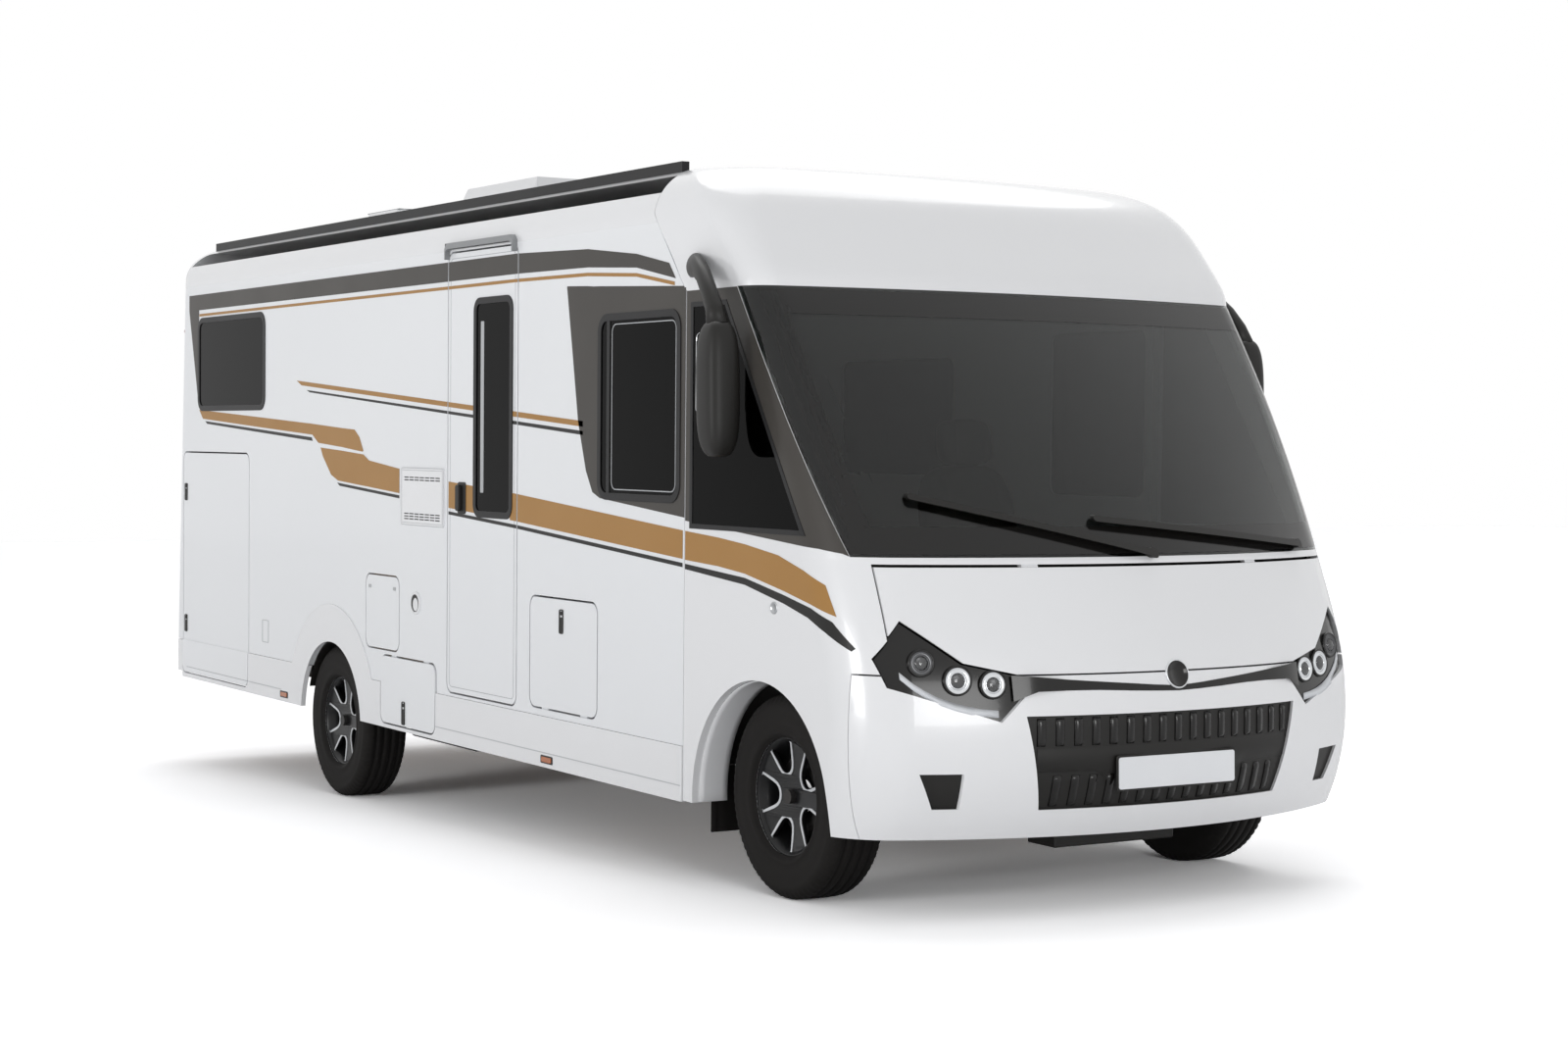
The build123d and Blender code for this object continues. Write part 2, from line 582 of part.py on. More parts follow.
# ---------------------------------------------------------------- glass of the living body and cab sides
with BuildPart() as side_windows:
    add(middle_glass)
    add(quarter_region, mode=Mode.INTERSECT)
    for box in (BED_WINDOW, SLIDING_WINDOW):
        add(side_panel(box, 0, -HALF_W, -HALF_W + 22))
    for box in (BED_WINDOW, SLIDING_WINDOW, DINETTE_WINDOW, BATH_WINDOW):
        add(side_panel(box, 0, HALF_W - 22, HALF_W))
save(side_windows, "side_windows")

# ---------------------------------------------------------------- openers
with BuildPart() as entry_door:
    add(side_panel(ENTRY, 0, -HALF_W, -INNER_Y))
    add(side_panel(ENTRY_PANE, 0, -HALF_W - 10, -INNER_Y + 10), mode=Mode.SUBTRACT)
save(entry_door, "entry_door")

with BuildPart() as entry_door_window:
    add(side_panel(ENTRY_PANE, 0, -HALF_W, -HALF_W + 22))
save(entry_door_window, "entry_door_window")

for side, label in ((-1, "garage_door_right"), (1, "garage_door_left")):
    leaf_y = side_limits(side, INNER_Y, HALF_W)
    low_y = side_limits(side, HALF_W + SKIRT_OUT - SKIRT_T, HALF_W + SKIRT_OUT)
    with BuildPart() as garage_door:
        add(side_panel(GARAGE, 0, *leaf_y))
        add(side_panel(GARAGE, 0, *low_y))
        upper = (GARAGE[0] - 10, GARAGE[1] + 10)
        add(block(upper, side_limits(side, HALF_W, HALF_W + 20), (WALL_BOTTOM_Z, 1700)), mode=Mode.SUBTRACT)
        add(block(upper, side_limits(side, 1000, HALF_W + SKIRT_OUT - SKIRT_T), (200, WALL_BOTTOM_Z)),
            mode=Mode.SUBTRACT)
    save(garage_door, label)

with BuildPart() as locker_door:
    add(side_panel(LOCKER, 0, -HALF_W, -INNER_Y))
save(locker_door, "locker_door")

with BuildPart() as service_flap:
    add(side_panel(SERVICE, 0, -HALF_W, -INNER_Y))
save(service_flap, "service_flap")

with BuildPart() as lower_hatch:
    add(side_panel(HATCH, 0, -HALF_W - SKIRT_OUT, -HALF_W - SKIRT_OUT + SKIRT_T))
save(lower_hatch, "lower_hatch")

# ---------------------------------------------------------------- roof and wall fittings
RAIL_TOP_Z = 2727.0
RAIL_X = (-6120.0, -800.0)
GUTTER = ((-2645.0, -2000.0), (-1160.0, -1118.0), (2486.0, 2512.0))
rail_foot_z = ROOF_Z - ROLL_R + math.sqrt(ROLL_R ** 2 - (RAIL_Y - HALF_W + ROLL_R + 16) ** 2)
with BuildPart() as roof_rails:
    for side in (-1, 1):
        add(block(RAIL_X, side_limits(side, RAIL_Y - 16, RAIL_Y + 16), (rail_foot_z - 30, RAIL_TOP_Z)))
    add(block(*GUTTER))
    add(living_block(0, TAIL_CORNER_R), mode=Mode.SUBTRACT)
save(roof_rails, "roof_rails")

AIRCON = ((-4530.0, -3520.0), (-330.0, 330.0), 245.0)
SKYLIGHTS = (((-5190.0, -4650.0), (-560.0, -60.0), 150.0), ((-2700.0, -1900.0), (-300.0, 300.0), 90.0))
with BuildPart() as roof_units:
    for x, y, height in (AIRCON, *SKYLIGHTS):
        with BuildSketch(Plane.XY.offset(ROOF_Z)):
            with Locations(((x[0] + x[1]) / 2, (y[0] + y[1]) / 2)):
                RectangleRounded(x[1] - x[0], y[1] - y[0], 90)
        extrude(amount=height, taper=22)
save(roof_units, "roof_units")

VENT = (-3162.0, -2690.0, 1255.0, 1518.0)
SOCKET = (-2997.0, 901.0, 52.0)
with BuildPart() as wall_fittings:
    add(side_panel(VENT, 0, -HALF_W - 8, -HALF_W, 15))
    add(across(SOCKET[0], SOCKET[1], SOCKET[2], -HALF_W - 8, -HALF_W))
save(wall_fittings, "wall_fittings")

STEP = ((-2580.0, -2045.0), (-1105.0, -880.0), (340.0, 365.0))
with BuildPart() as entry_step:
    add(block(*STEP))
    for x in (STEP[0][0] + 40, STEP[0][1] - 80):
        add(block((x, x + 40), (-1000, -900), (STEP[2][1], FLOOR_TOP_Z - FLOOR_T)))
save(entry_step, "entry_step")

TAIL_LAMP = (620.0, 980.0)     # lower and upper edge
TAIL_LAMP_Y = (960.0, 1060.0)
TAIL_LAMP_T = 12.0
lamp_face = [(tail_at(z), z) for z in TAIL_LAMP]
with BuildPart() as tail_lamps:
    for side in (-1, 1):
        add(side_prism([*lamp_face, *[(x - TAIL_LAMP_T, z) for x, z in reversed(lamp_face)]],
                       *side_limits(side, *TAIL_LAMP_Y)))
save(tail_lamps, "tail_lamps")

# ---------------------------------------------------------------- mirrors and wipers
MIRROR_HEAD = ((-170.0, -20.0), (1171.0, 1305.0), (1595.0, 2085.0))
MIRROR_ARM_R = 26.0
MIRROR_FOOT = (-476.0, 2302.0)


def mirror_unit(side):
    """A hanging mirror on an arm that springs from the cap's side."""
    y = side_limits(side, *MIRROR_HEAD[1])
    y_mid = side * (MIRROR_HEAD[1][0] + MIRROR_HEAD[1][1]) / 2
    foot = (MIRROR_FOOT[0], side * (HALF_W - 8), MIRROR_FOOT[1])
    knee = (MIRROR_FOOT[0] + 180, side * (HALF_W + 100), MIRROR_FOOT[1] + 20)
    x_mid = (MIRROR_HEAD[0][0] + MIRROR_HEAD[0][1]) / 2
    head = (x_mid, y_mid, MIRROR_FOOT[1] - 60)
    tip = (x_mid, y_mid, MIRROR_HEAD[2][1] - 40)
    with BuildPart() as unit:
        with BuildLine() as path:
            FilletPolyline(foot, knee, head, tip, radius=55)
        with BuildSketch(Plane(origin=foot, z_dir=path.line % 0)):
            Circle(MIRROR_ARM_R)
        sweep()
        shell = block(MIRROR_HEAD[0], y, MIRROR_HEAD[2])
        add(shell)
        fillet(unit.edges().filter_by(Axis.Z), 40)
    return unit.part


with BuildPart() as mirrors:
    for side in (-1, 1):
        add(mirror_unit(side))
    add(cab_block(CAB_CAP, 0, CAP_BACK_X), mode=Mode.SUBTRACT)
save(mirrors, "mirrors")

# wiper: y of pivot, z of pivot, y of blade end, z of blade end
WIPERS = ((-10.0, 1275.0, -860.0, 1470.0), (820.0, 1292.0, -200.0, 1395.0))
wiper_outer = cab_block(CAB_MIDDLE, -34, -200)
wiper_inner = cab_block(CAB_MIDDLE, -14, -200)
screen_block = cab_block(CAB_MIDDLE, 0, -200)
with BuildPart() as wipers:
    for y0, z0, y1, z1 in WIPERS:
        run = math.hypot(y1 - y0, z1 - z0)
        tilt = math.degrees(math.atan2(z1 - z0, y1 - y0))
        with BuildSketch(Plane.YZ.offset(300)):
            with Locations(((y0 + y1) / 2, (z0 + z1) / 2)):
                SlotCenterToCenter(run, 22, rotation=tilt)
        extrude(amount=800)
    add(wiper_outer, mode=Mode.INTERSECT)
    add(wiper_inner, mode=Mode.SUBTRACT)
    for y0, z0, y1, z1 in WIPERS:
        with BuildPart(mode=Mode.PRIVATE) as boss:
            with BuildSketch(Plane.YZ.offset(300)):
                with Locations((y0, z0)):
                    Circle(18)
            extrude(amount=800)
            add(wiper_outer, mode=Mode.INTERSECT)
            add(screen_block, mode=Mode.SUBTRACT)
        add(boss.part)
save(wipers, "wipers")

# ---------------------------------------------------------------- wheels and axles
BEAD_IN = 45.0           # bead seat's end inside the tyre's side
LIP_IN = 28.0            # rim lip inside the tyre's side


def tyre(x, z, y_mid):
    """A tyre of revolution about its axle."""
    half = TYRE_W / 2
    with BuildPart() as piece:
        with BuildSketch(Plane.XY.offset(z)):
            with BuildLine():
                outer = [(RIM_R, half - BEAD_IN), (RIM_FLANGE_R, half - LIP_IN), (250, half - 9), (290, half),
                         (TYRE_R - 28, half - 8), (TYRE_R, half - 30)]
                right = [(x + r, y_mid - y) for r, y in outer]
                left = [(x + r, y_mid + y) for r, y in reversed(outer)]
                Polyline(*right, *left, close=True)
            make_face()
        revolve(axis=Axis((x, 0, z), (0, 1, 0)))
    return piece


SPOKES = 5
def rim(x, z, y_mid, side):
    """An alloy rim: barrel, dished face with five pairs of spokes, and hub bore."""
    half = TYRE_W / 2
    face = y_mid + side * (half - RIM_INSET - 6)
    inner = y_mid - side * (half - BEAD_IN)
    outer_seat = y_mid + side * (half - BEAD_IN)
    lip = y_mid + side * (half - LIP_IN)
    with BuildPart() as piece:
        with BuildSketch(Plane.XY.offset(z)):
            with BuildLine():
                Polyline(
                    (x + RIM_R, inner), (x + RIM_R, outer_seat), (x + RIM_FLANGE_R, lip),
                    (x + RIM_FLANGE_R, lip + side * 4), (x + RIM_R, lip), (x + RIM_R - 12, face - side * 22),
                    (x + RIM_R - 12, inner), close=True,
                )
            make_face()
        revolve(axis=Axis((x, 0, z), (0, 1, 0)))
        with BuildSketch(Plane.XY.offset(z)):
            with BuildLine():
                Polyline(
                    (x + STUB_R + HUB_CLEAR, face), (x + 60, face - side * 4), (x + RIM_R - 10, face - side * 14),
                    (x + RIM_R - 10, face - side * 50), (x + 90, face - side * 50), (x + 75, face - side * 80),
                    (x + STUB_R + HUB_CLEAR, face - side * 80), close=True,
                )
            make_face()
        revolve(axis=Axis((x, 0, z), (0, 1, 0)))
        low_y = min(face, face - side * 90) - 5
        with BuildSketch(Plane.XZ.offset(-low_y - 100)):
            with Locations((x, z)):
                for turn in range(SPOKES):
                    angle = 90 + turn * 360 / SPOKES
                    with PolarLocations(0, 1, start_angle=angle):
                        with Locations((132, 0)):
                            Ellipse(48, 15)
                    with PolarLocations(0, 1, start_angle=angle + 180 / SPOKES):
                        with Locations((138, 0)):
                            Ellipse(46, 40)
        extrude(amount=100, mode=Mode.SUBTRACT)
    return piece


CORNERS = (
    ("front_right", 0.0, TYRE_R, FRONT_TYRE_Y, -1),
    ("front_left", 0.0, TYRE_R, FRONT_TYRE_Y, 1),
    ("rear_right", REAR_AXLE_X, REAR_AXLE_Z, REAR_TYRE_Y, -1),
    ("rear_left", REAR_AXLE_X, REAR_AXLE_Z, REAR_TYRE_Y, 1),
)
for label, x, z, track_y, side in CORNERS:
    save(tyre(x, z, side * track_y), f"tyre_{label}")
    save(rim(x, z, side * track_y, side), f"rim_{label}")

PIN_R = 20.0
PIN_CLEAR = 0.8          # arm eyes on the steering pin
ARM_LOW_Z = 268.0
ARM_TOP_Z = 500.0
ARM_T = 28.0
hub_end = FRONT_TYRE_Y + TYRE_W / 2 - RIM_INSET - 3
for side, label in ((-1, "knuckle_right"), (1, "knuckle_left")):
    with BuildPart() as knuckle:
        with BuildSketch(Plane.XY.offset(ARM_LOW_Z - 25)):
            with Locations((0, side * KINGPIN_Y)):
                Circle(PIN_R)
        extrude(amount=ARM_TOP_Z - ARM_LOW_Z + 55)
        add(block((-34, 34), side_limits(side, KINGPIN_Y - 30, KINGPIN_Y + 18), (ARM_LOW_Z + 20, 460)))
        add(across(0, TYRE_R, STUB_R, *side_limits(side, KINGPIN_Y, hub_end)))
    save_upright(knuckle, label)

eye_y = KINGPIN_Y
with BuildPart() as front_axle:
    add(block((-90, 190), (-380, 380), (250, 330)))
    for side in (-1, 1):
        rail = side_limits(side, RAIL_HALF_Y - RAIL_W / 2, RAIL_HALF_Y + RAIL_W / 2)
        tower = side_limits(side, RAIL_HALF_Y + RAIL_W / 2, RAIL_HALF_Y + RAIL_W / 2 + 30)
        add(block((-60, 60), rail, (330, FRAME_Z[0])))
        add(block((-60, 60), side_limits(side, 300, RAIL_HALF_Y + RAIL_W / 2 + 30), (300, 340)))
        add(block((-50, 50), tower, (300, ARM_TOP_Z + ARM_T / 2)))
        for z, start in ((ARM_LOW_Z, 360.0), (ARM_TOP_Z, 470.0)):
            x = pin_x(z)
            add(block((x - 28, x + 28), side_limits(side, start, eye_y), (z - ARM_T / 2, z + ARM_T / 2)))
            with BuildSketch(Plane.XY.offset(z - ARM_T / 2)):
                with Locations((x, side * eye_y)):
                    Circle(PIN_R + 17)
                    Circle(PIN_R + PIN_CLEAR, mode=Mode.SUBTRACT)
            extrude(amount=ARM_T)
            with BuildSketch(Plane.XY.offset(z - ARM_T)):
                with Locations((x, side * eye_y)):
                    Circle(PIN_R + PIN_CLEAR)
            extrude(amount=2 * ARM_T, mode=Mode.SUBTRACT)
save(front_axle, "front_axle")

rear_hub_end = REAR_TYRE_Y + TYRE_W / 2 - RIM_INSET - 3
with BuildPart() as rear_axle:
    add(across(REAR_AXLE_X, REAR_AXLE_Z, 38, -REAR_TYRE_Y + 130, REAR_TYRE_Y - 130))
    add(across(REAR_AXLE_X, REAR_AXLE_Z, STUB_R, -rear_hub_end, rear_hub_end))
    for side in (-1, 1):
        seat = side_limits(side, RAIL_HALF_Y - 30, RAIL_HALF_Y + 30)
        add(block((REAR_AXLE_X - 45, REAR_AXLE_X + 45), seat, (REAR_AXLE_Z, FRAME_Z[0])))
save(rear_axle, "rear_axle")

# ---------------------------------------------------------------- wheel liners and mud flaps
LINER_R = 478.0
LINER_T = 5.0
REAR_LINER_R = 396.0
with BuildPart() as wheel_liners:
    for side in (-1, 1):
        y = side_limits(side, WELL_Y + SEAT_GAP, HALF_W - SHELL - SEAT_GAP)
        add(across(0, TYRE_R, LINER_R + LINER_T, *y))
        rear_y = side_limits(side, REAR_WELL_Y + SEAT_GAP, INNER_Y - 1)
        add(across(REAR_AXLE_X, REAR_AXLE_Z, REAR_LINER_R + LINER_T, *rear_y))
    for side in (-1, 1):
        y = side_limits(side, WELL_Y + SEAT_GAP + LINER_T, HALF_W)
        add(across(0, TYRE_R, LINER_R, *y), mode=Mode.SUBTRACT)
        rear_y = side_limits(side, REAR_WELL_Y + SEAT_GAP + LINER_T, HALF_W)
        add(across(REAR_AXLE_X, REAR_AXLE_Z, REAR_LINER_R, *rear_y), mode=Mode.SUBTRACT)
    add(block((-600, 600), (-1200, 1200), (-600, 470)), mode=Mode.SUBTRACT)
    add(block((REAR_AXLE_X - 600, REAR_AXLE_X + 600), (-1200, 1200), (-600, 400)), mode=Mode.SUBTRACT)
    add(block((-60, 60), (-700, 700), (400, 600)), mode=Mode.SUBTRACT)
save(wheel_liners, "wheel_liners")

# ---------------------------------------------------------------- inside the cab and living space
DASH_SECTION = [
    (180.0, 930.0), (215.0, 1140.0), (300.0, 1249.0), (1000.0, 1249.0), (1000.0, 1240.0),
    (470.0, 1240.0), (470.0, 940.0), (400.0, 900.0),
]
WHEEL_HUB = (60.0, 430.0, 1085.0)
with BuildPart() as dashboard:
    add(side_prism(DASH_SECTION, -1200, 1200))
    add(cab_block(CAB_LOWER, SHELL + 0.3, 0), mode=Mode.INTERSECT)
    with BuildSketch(Plane(origin=WHEEL_HUB, z_dir=(-0.87, 0, 0.5))):
        Circle(16)
    extrude(amount=-190)
    with BuildSketch(Plane(origin=WHEEL_HUB, z_dir=(-0.87, 0, 0.5))):
        Circle(195)
        Circle(165, mode=Mode.SUBTRACT)
        Rectangle(350, 34)
        with Locations((0, 0)):
            Circle(55)
    extrude(amount=26)
save(dashboard, "dashboard")

SEAT_Y = 430.0
SEAT_X = -640.0
with BuildPart() as cab_seats:
    for side in (-1, 1):
        y = side_limits(side, SEAT_Y - 245, SEAT_Y + 245)
        inner = side_limits(side, SEAT_Y - 150, SEAT_Y + 150)
        add(block((SEAT_X - 250, SEAT_X + 270), y, (800, 950)))
        add(block((SEAT_X - 180, SEAT_X + 180), inner, (FLOOR_TOP_Z, 800)))
        back = [(SEAT_X - 200, 900), (SEAT_X - 330, 1560), (SEAT_X - 200, 1580), (SEAT_X - 70, 950)]
        add(side_prism(back, *y))
        rest = [(SEAT_X - 325, 1545), (SEAT_X - 345, 1760), (SEAT_X - 245, 1765), (SEAT_X - 215, 1565)]
        add(side_prism(rest, *side_limits(side, SEAT_Y - 130, SEAT_Y + 130)))
save(cab_seats, "cab_seats")

# cupboards and bed base seen through the glass: x limits, y limits, z limits
FURNITURE = (
    ((-3600.0, -2760.0), (-INNER_Y, -560.0), (FLOOR_TOP_Z, 1480.0)),
    ((-4900.0, -3400.0), (540.0, INNER_Y), (FLOOR_TOP_Z + 130, 1500.0)),
    ((-3000.0, -1700.0), (480.0, INNER_Y), (FLOOR_TOP_Z, 1020.0)),
    ((-6220.0, -4960.0), (-INNER_Y, INNER_Y), (1600.0, 1760.0)),
)
with BuildPart() as furniture:
    for x, y, z in FURNITURE:
        add(block(x, y, z))
save(furniture, "furniture")
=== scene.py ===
"""Looks of an integrated motorhome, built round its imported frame."""
from __future__ import annotations

import logging
import math
from dataclasses import dataclass, replace
from enum import Enum
from functools import lru_cache
from typing import Callable, Optional, Sequence

import bmesh
import bpy
from mathutils import Matrix, Vector
from mathutils.bvhtree import BVHTree

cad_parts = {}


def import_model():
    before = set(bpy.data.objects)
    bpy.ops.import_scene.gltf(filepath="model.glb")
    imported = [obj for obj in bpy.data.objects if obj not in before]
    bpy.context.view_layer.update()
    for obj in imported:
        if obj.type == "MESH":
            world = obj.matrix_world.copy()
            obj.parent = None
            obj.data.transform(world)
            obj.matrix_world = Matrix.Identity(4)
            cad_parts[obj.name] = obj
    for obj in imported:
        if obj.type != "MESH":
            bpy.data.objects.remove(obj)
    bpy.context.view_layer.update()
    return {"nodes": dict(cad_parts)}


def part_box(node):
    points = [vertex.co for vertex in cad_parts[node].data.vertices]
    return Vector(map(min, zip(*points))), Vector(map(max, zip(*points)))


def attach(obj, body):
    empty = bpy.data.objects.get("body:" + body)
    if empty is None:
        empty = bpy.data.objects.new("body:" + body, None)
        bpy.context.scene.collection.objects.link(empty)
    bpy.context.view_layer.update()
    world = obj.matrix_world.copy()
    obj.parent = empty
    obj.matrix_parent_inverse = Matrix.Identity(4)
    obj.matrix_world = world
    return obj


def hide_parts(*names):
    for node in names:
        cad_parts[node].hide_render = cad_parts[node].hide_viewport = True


LOG = logging.getLogger("motorhome")
Point = tuple[float, float]
Box = tuple[float, float, float, float]
Outline = Sequence[Point]
Loop = list[Vector]


# ---------------------------------------------------------------- places
@dataclass(frozen=True)
class Stance:
    """How the level body frame, in millimetres, stands on its wheels in the part's frame."""

    rake_deg: float = 1.57
    tyre_r: float = 372.0
    mid_x: float = -2693.112

    def at(self, x: float, y: float, z: float) -> Vector:
        """Place of a body-frame point.

        Args:
            x: millimetres forward of the front axle.
            y: millimetres to the left of the centre plane.
            z: millimetres above the ground at the front axle.

        Returns:
            The point in metres in the part's frame.
        """
        c, s = math.cos(math.radians(self.rake_deg)), math.sin(math.radians(self.rake_deg))
        rise = z - self.tyre_r
        return Vector(((x * c + rise * s - self.mid_x) / 1000, y / 1000, (self.tyre_r - x * s + rise * c) / 1000))

    def turn(self, v: Vector) -> Vector:
        """Direction in the part's frame of a body-frame direction."""
        return self.at(v.x * 1000, v.y * 1000, v.z * 1000) - self.at(0, 0, 0)


class Side(Enum):
    """Which side of the vehicle a piece is on."""

    RIGHT = -1
    LEFT = 1

    @property
    def tag(self) -> str:
        """Ending of the names of this side's pieces."""
        return self.name.lower()

    def span(self, inner: float, outer: float) -> Point:
        """Rising y limits of what lies between two distances from the centre plane."""
        low, high = sorted((self.value * inner, self.value * outer))
        return low, high


STANCE = Stance()
AHEAD, BACK = (STANCE.turn(Vector((step, 0, 0))).normalized() for step in (1, -1))
UP = Vector((0, 0, 1))
HALF_W = 1135.0
SKIRT_OUT = 6.0
FILM_LIFT = 0.9
# Body-frame places from which the skin is looked for: beside it, ahead of it and behind it
BESIDE, BEFORE, BEHIND = 1500.0, 1500.0, -7500.0
CORNERS = tuple((end, side) for end in ("front", "rear") for side in Side)


# ---------------------------------------------------------------- materials
def linear(code: str) -> tuple[float, float, float, float]:
    """Linear RGBA of an sRGB hex colour such as "#EEF0F2"."""
    parts = [int(code[i:i + 2], 16) / 255 for i in (1, 3, 5)]
    rgb = [p / 12.92 if p <= 0.04045 else ((p + 0.055) / 1.055) ** 2.4 for p in parts]
    return (rgb[0], rgb[1], rgb[2], 1.0)


def fresh_tree(owner: bpy.types.ID) -> bpy.types.NodeTree:
    """Empty node tree of a material or world."""
    owner.use_nodes = True
    owner.node_tree.nodes.clear()
    return owner.node_tree


def add_node(tree: bpy.types.NodeTree, kind: str, settings: Optional[dict] = None,
             inputs: Optional[dict] = None, links: Optional[dict] = None) -> bpy.types.Node:
    """Add a shader node.

    Args:
        tree: the node tree it goes into.
        kind: Blender's type name of the node.
        settings: attributes of the node.
        inputs: constant values by input name or number.
        links: sockets of other nodes by input name or number.

    Returns:
        The new node.
    """
    node = tree.nodes.new(kind)
    for key, value in (settings or {}).items():
        setattr(node, key, value)
    for key, value in (inputs or {}).items():
        node.inputs[key].default_value = value
    for key, socket in (links or {}).items():
        tree.links.new(socket, node.inputs[key])
    return node


@dataclass(frozen=True)
class Finish:
    """A surface: colour varied by slow cloudiness, and a fine bump whose scale is a real size."""

    name: str
    colour: str
    shade: str
    roughness: float
    metallic: float = 0.0
    coat: float = 0.0
    transmission: float = 0.0
    ior: float = 1.5
    cloud_mm: float = 400.0
    grain_mm: float = 3.0
    bump: float = 0.02
    bump_depth_mm: float = 0.2
    specular: float = 0.5
    rough_spread: float = 0.06

    def make(self) -> bpy.types.Material:
        """Build the material once and return it."""
        known = bpy.data.materials.get(self.name)
        if known:
            return known
        mat = bpy.data.materials.new(self.name)
        tree = fresh_tree(mat)
        place = add_node(tree, "ShaderNodeTexCoord").outputs["Object"]
        cloud, grain = (add_node(tree, "ShaderNodeTexNoise", inputs={"Scale": 1000 / size, "Detail": detail},
                                 links={"Vector": place}).outputs["Fac"]
                        for size, detail in ((self.cloud_mm, 3.0), (self.grain_mm, 2.0)))
        tint = add_node(tree, "ShaderNodeMix", {"data_type": "RGBA"},
                        {6: linear(self.colour), 7: linear(self.shade)}, {0: cloud})
        rough = add_node(tree, "ShaderNodeMapRange",
                         inputs={"To Min": max(self.roughness - self.rough_spread, 0.0),
                                 "To Max": self.roughness + self.rough_spread}, links={"Value": cloud})
        dents = add_node(tree, "ShaderNodeBump", inputs={"Strength": self.bump, "Distance": self.bump_depth_mm / 1000},
                         links={"Height": grain})
        shader = add_node(tree, "ShaderNodeBsdfPrincipled",
                          inputs={"Metallic": self.metallic, "Coat Weight": self.coat, "Coat Roughness": 0.05,
                                  "Transmission Weight": self.transmission, "IOR": self.ior,
                                  "Specular IOR Level": self.specular},
                          links={"Base Color": tint.outputs[2], "Roughness": rough.outputs[0],
                                 "Normal": dents.outputs["Normal"]})
        add_node(tree, "ShaderNodeOutputMaterial", links={"Surface": shader.outputs[0]})
        return mat


# Gelcoat on glass-fibre mouldings: deep gloss over faint waviness
GELCOAT = Finish("gelcoat_white", "#E9EAEC", "#E5E6E8", 0.22, coat=0.35, grain_mm=60.0, bump_depth_mm=0.5,
                 cloud_mm=1500.0)
# Coil-painted aluminium sheet: flat, with a softer gloss than the mouldings
SHEET_WHITE = Finish("painted_sheet_white", "#EAECEE", "#E6E8EB", 0.3, coat=0.2, grain_mm=90.0, bump=0.01,
                     bump_depth_mm=0.4, cloud_mm=1800.0)
# Moulded ABS with a fine etched grain: an even dull sheen
ABS_BLACK = Finish("moulded_abs_black", "#191817", "#1F1E1C", 0.45, grain_mm=1.2, bump=0.15, specular=0.3)
# Gloss black moulding of lamp housings and trims: sharp reflections
GLOSS_BLACK = Finish("polished_abs_black", "#121110", "#171615", 0.16, coat=0.15, specular=0.3, grain_mm=30.0,
                     bump=0.01)
# Warm grey cast vinyl film: flat, even and half dull
FILM_GREY = Finish("cast_vinyl_grey", "#45423E", "#403D3A", 0.4, coat=0.05, specular=0.2, grain_mm=8.0, bump=0.01)
# Bronze-gold cast vinyl film with a satin face
FILM_GOLD = replace(FILM_GREY, name="cast_vinyl_bronze", colour="#A97F48", shade="#A37942", roughness=0.42)
# Black cast vinyl film of the thin lines: half dull
FILM_BLACK = replace(FILM_GREY, name="cast_vinyl_black", colour="#232221", shade="#1E1D1C")
# Pale grey a step under the paint: the own colour of sealed joints and window seals, and painted shade in groove,
# recess and gap lines
SEAL_AND_GROOVE_SHADE_GREY = Finish("joint_sealant_grey", "#B9BBBE", "#AEB1B4", 0.6, grain_mm=2.0, bump=0.1)
# Laminated windscreen glass: clear with a grey-green cast
SCREEN_GLASS = Finish("laminated_screen_glass", "#868A88", "#828684", 0.01, transmission=1.0, ior=1.4,
                      grain_mm=200.0, bump=0.0, rough_spread=0.005)
# Double acrylic window panes: a dark tint with clean reflections
ACRYLIC = Finish("tinted_acrylic", "#080808", "#070707", 0.0, transmission=0.94, ior=1.12, grain_mm=300.0,
                 bump=0.0, rough_spread=0.0)
# Powder-coated window frames and rail profiles: dull black with a fine orange peel
POWDER_BLACK = Finish("powder_coated_profile", "#1A1A1B", "#212122", 0.45, grain_mm=0.9, bump=0.2, specular=0.25)
# Grey powder coat of the drip rail: half dull
DRIP_GREY = Finish("powder_coated_drip_rail", "#8F9193", "#838587", 0.4, grain_mm=1.0, bump=0.1)
# Satin anodised aluminium strips: a broad soft highlight
ANODISED = Finish("anodised_aluminium", "#B9BBBD", "#A9ABAD", 0.32, metallic=1.0, grain_mm=1.5, bump=0.08)
# Diamond-turned alloy of the wheel faces: bright, with a soft highlight
TURNED_ALLOY = Finish("turned_alloy", "#DADCDE", "#CFD1D4", 0.34, metallic=0.7, grain_mm=0.8, bump=0.1)
# Black lacquer inside the wheels: a low sheen
WHEEL_BLACK = Finish("lacquered_alloy_black", "#121213", "#181819", 0.32, coat=0.1, specular=0.25, grain_mm=5.0,
                     bump=0.03)
# Vulcanised rubber: dull, dusty black
RUBBER = Finish("vulcanised_rubber", "#1A1918", "#22201F", 0.75, grain_mm=1.5, bump=0.3, specular=0.15)
# Wax-coated chassis steel: uneven black with little gloss
CHASSIS = Finish("waxed_chassis_steel", "#1E1E1F", "#282725", 0.55, grain_mm=6.0, bump=0.25)
# Sand-cast iron of the engine and hubs: rough dark grey metal
CASTING = Finish("sand_cast_iron", "#4A4847", "#3B3938", 0.65, metallic=0.7, grain_mm=2.5, bump=0.35)
# Light oak foil on the cupboards and floor: warm brown, faintly grained
OAK_FOIL = Finish("oak_foil", "#8C6F50", "#745A3F", 0.5, grain_mm=14.0, bump=0.1, cloud_mm=120.0)
# Soft-touch dashboard moulding with leather grain: dark and dull
DASH = Finish("grained_dashboard", "#2A2927", "#242321", 0.6, grain_mm=2.0, bump=0.25)
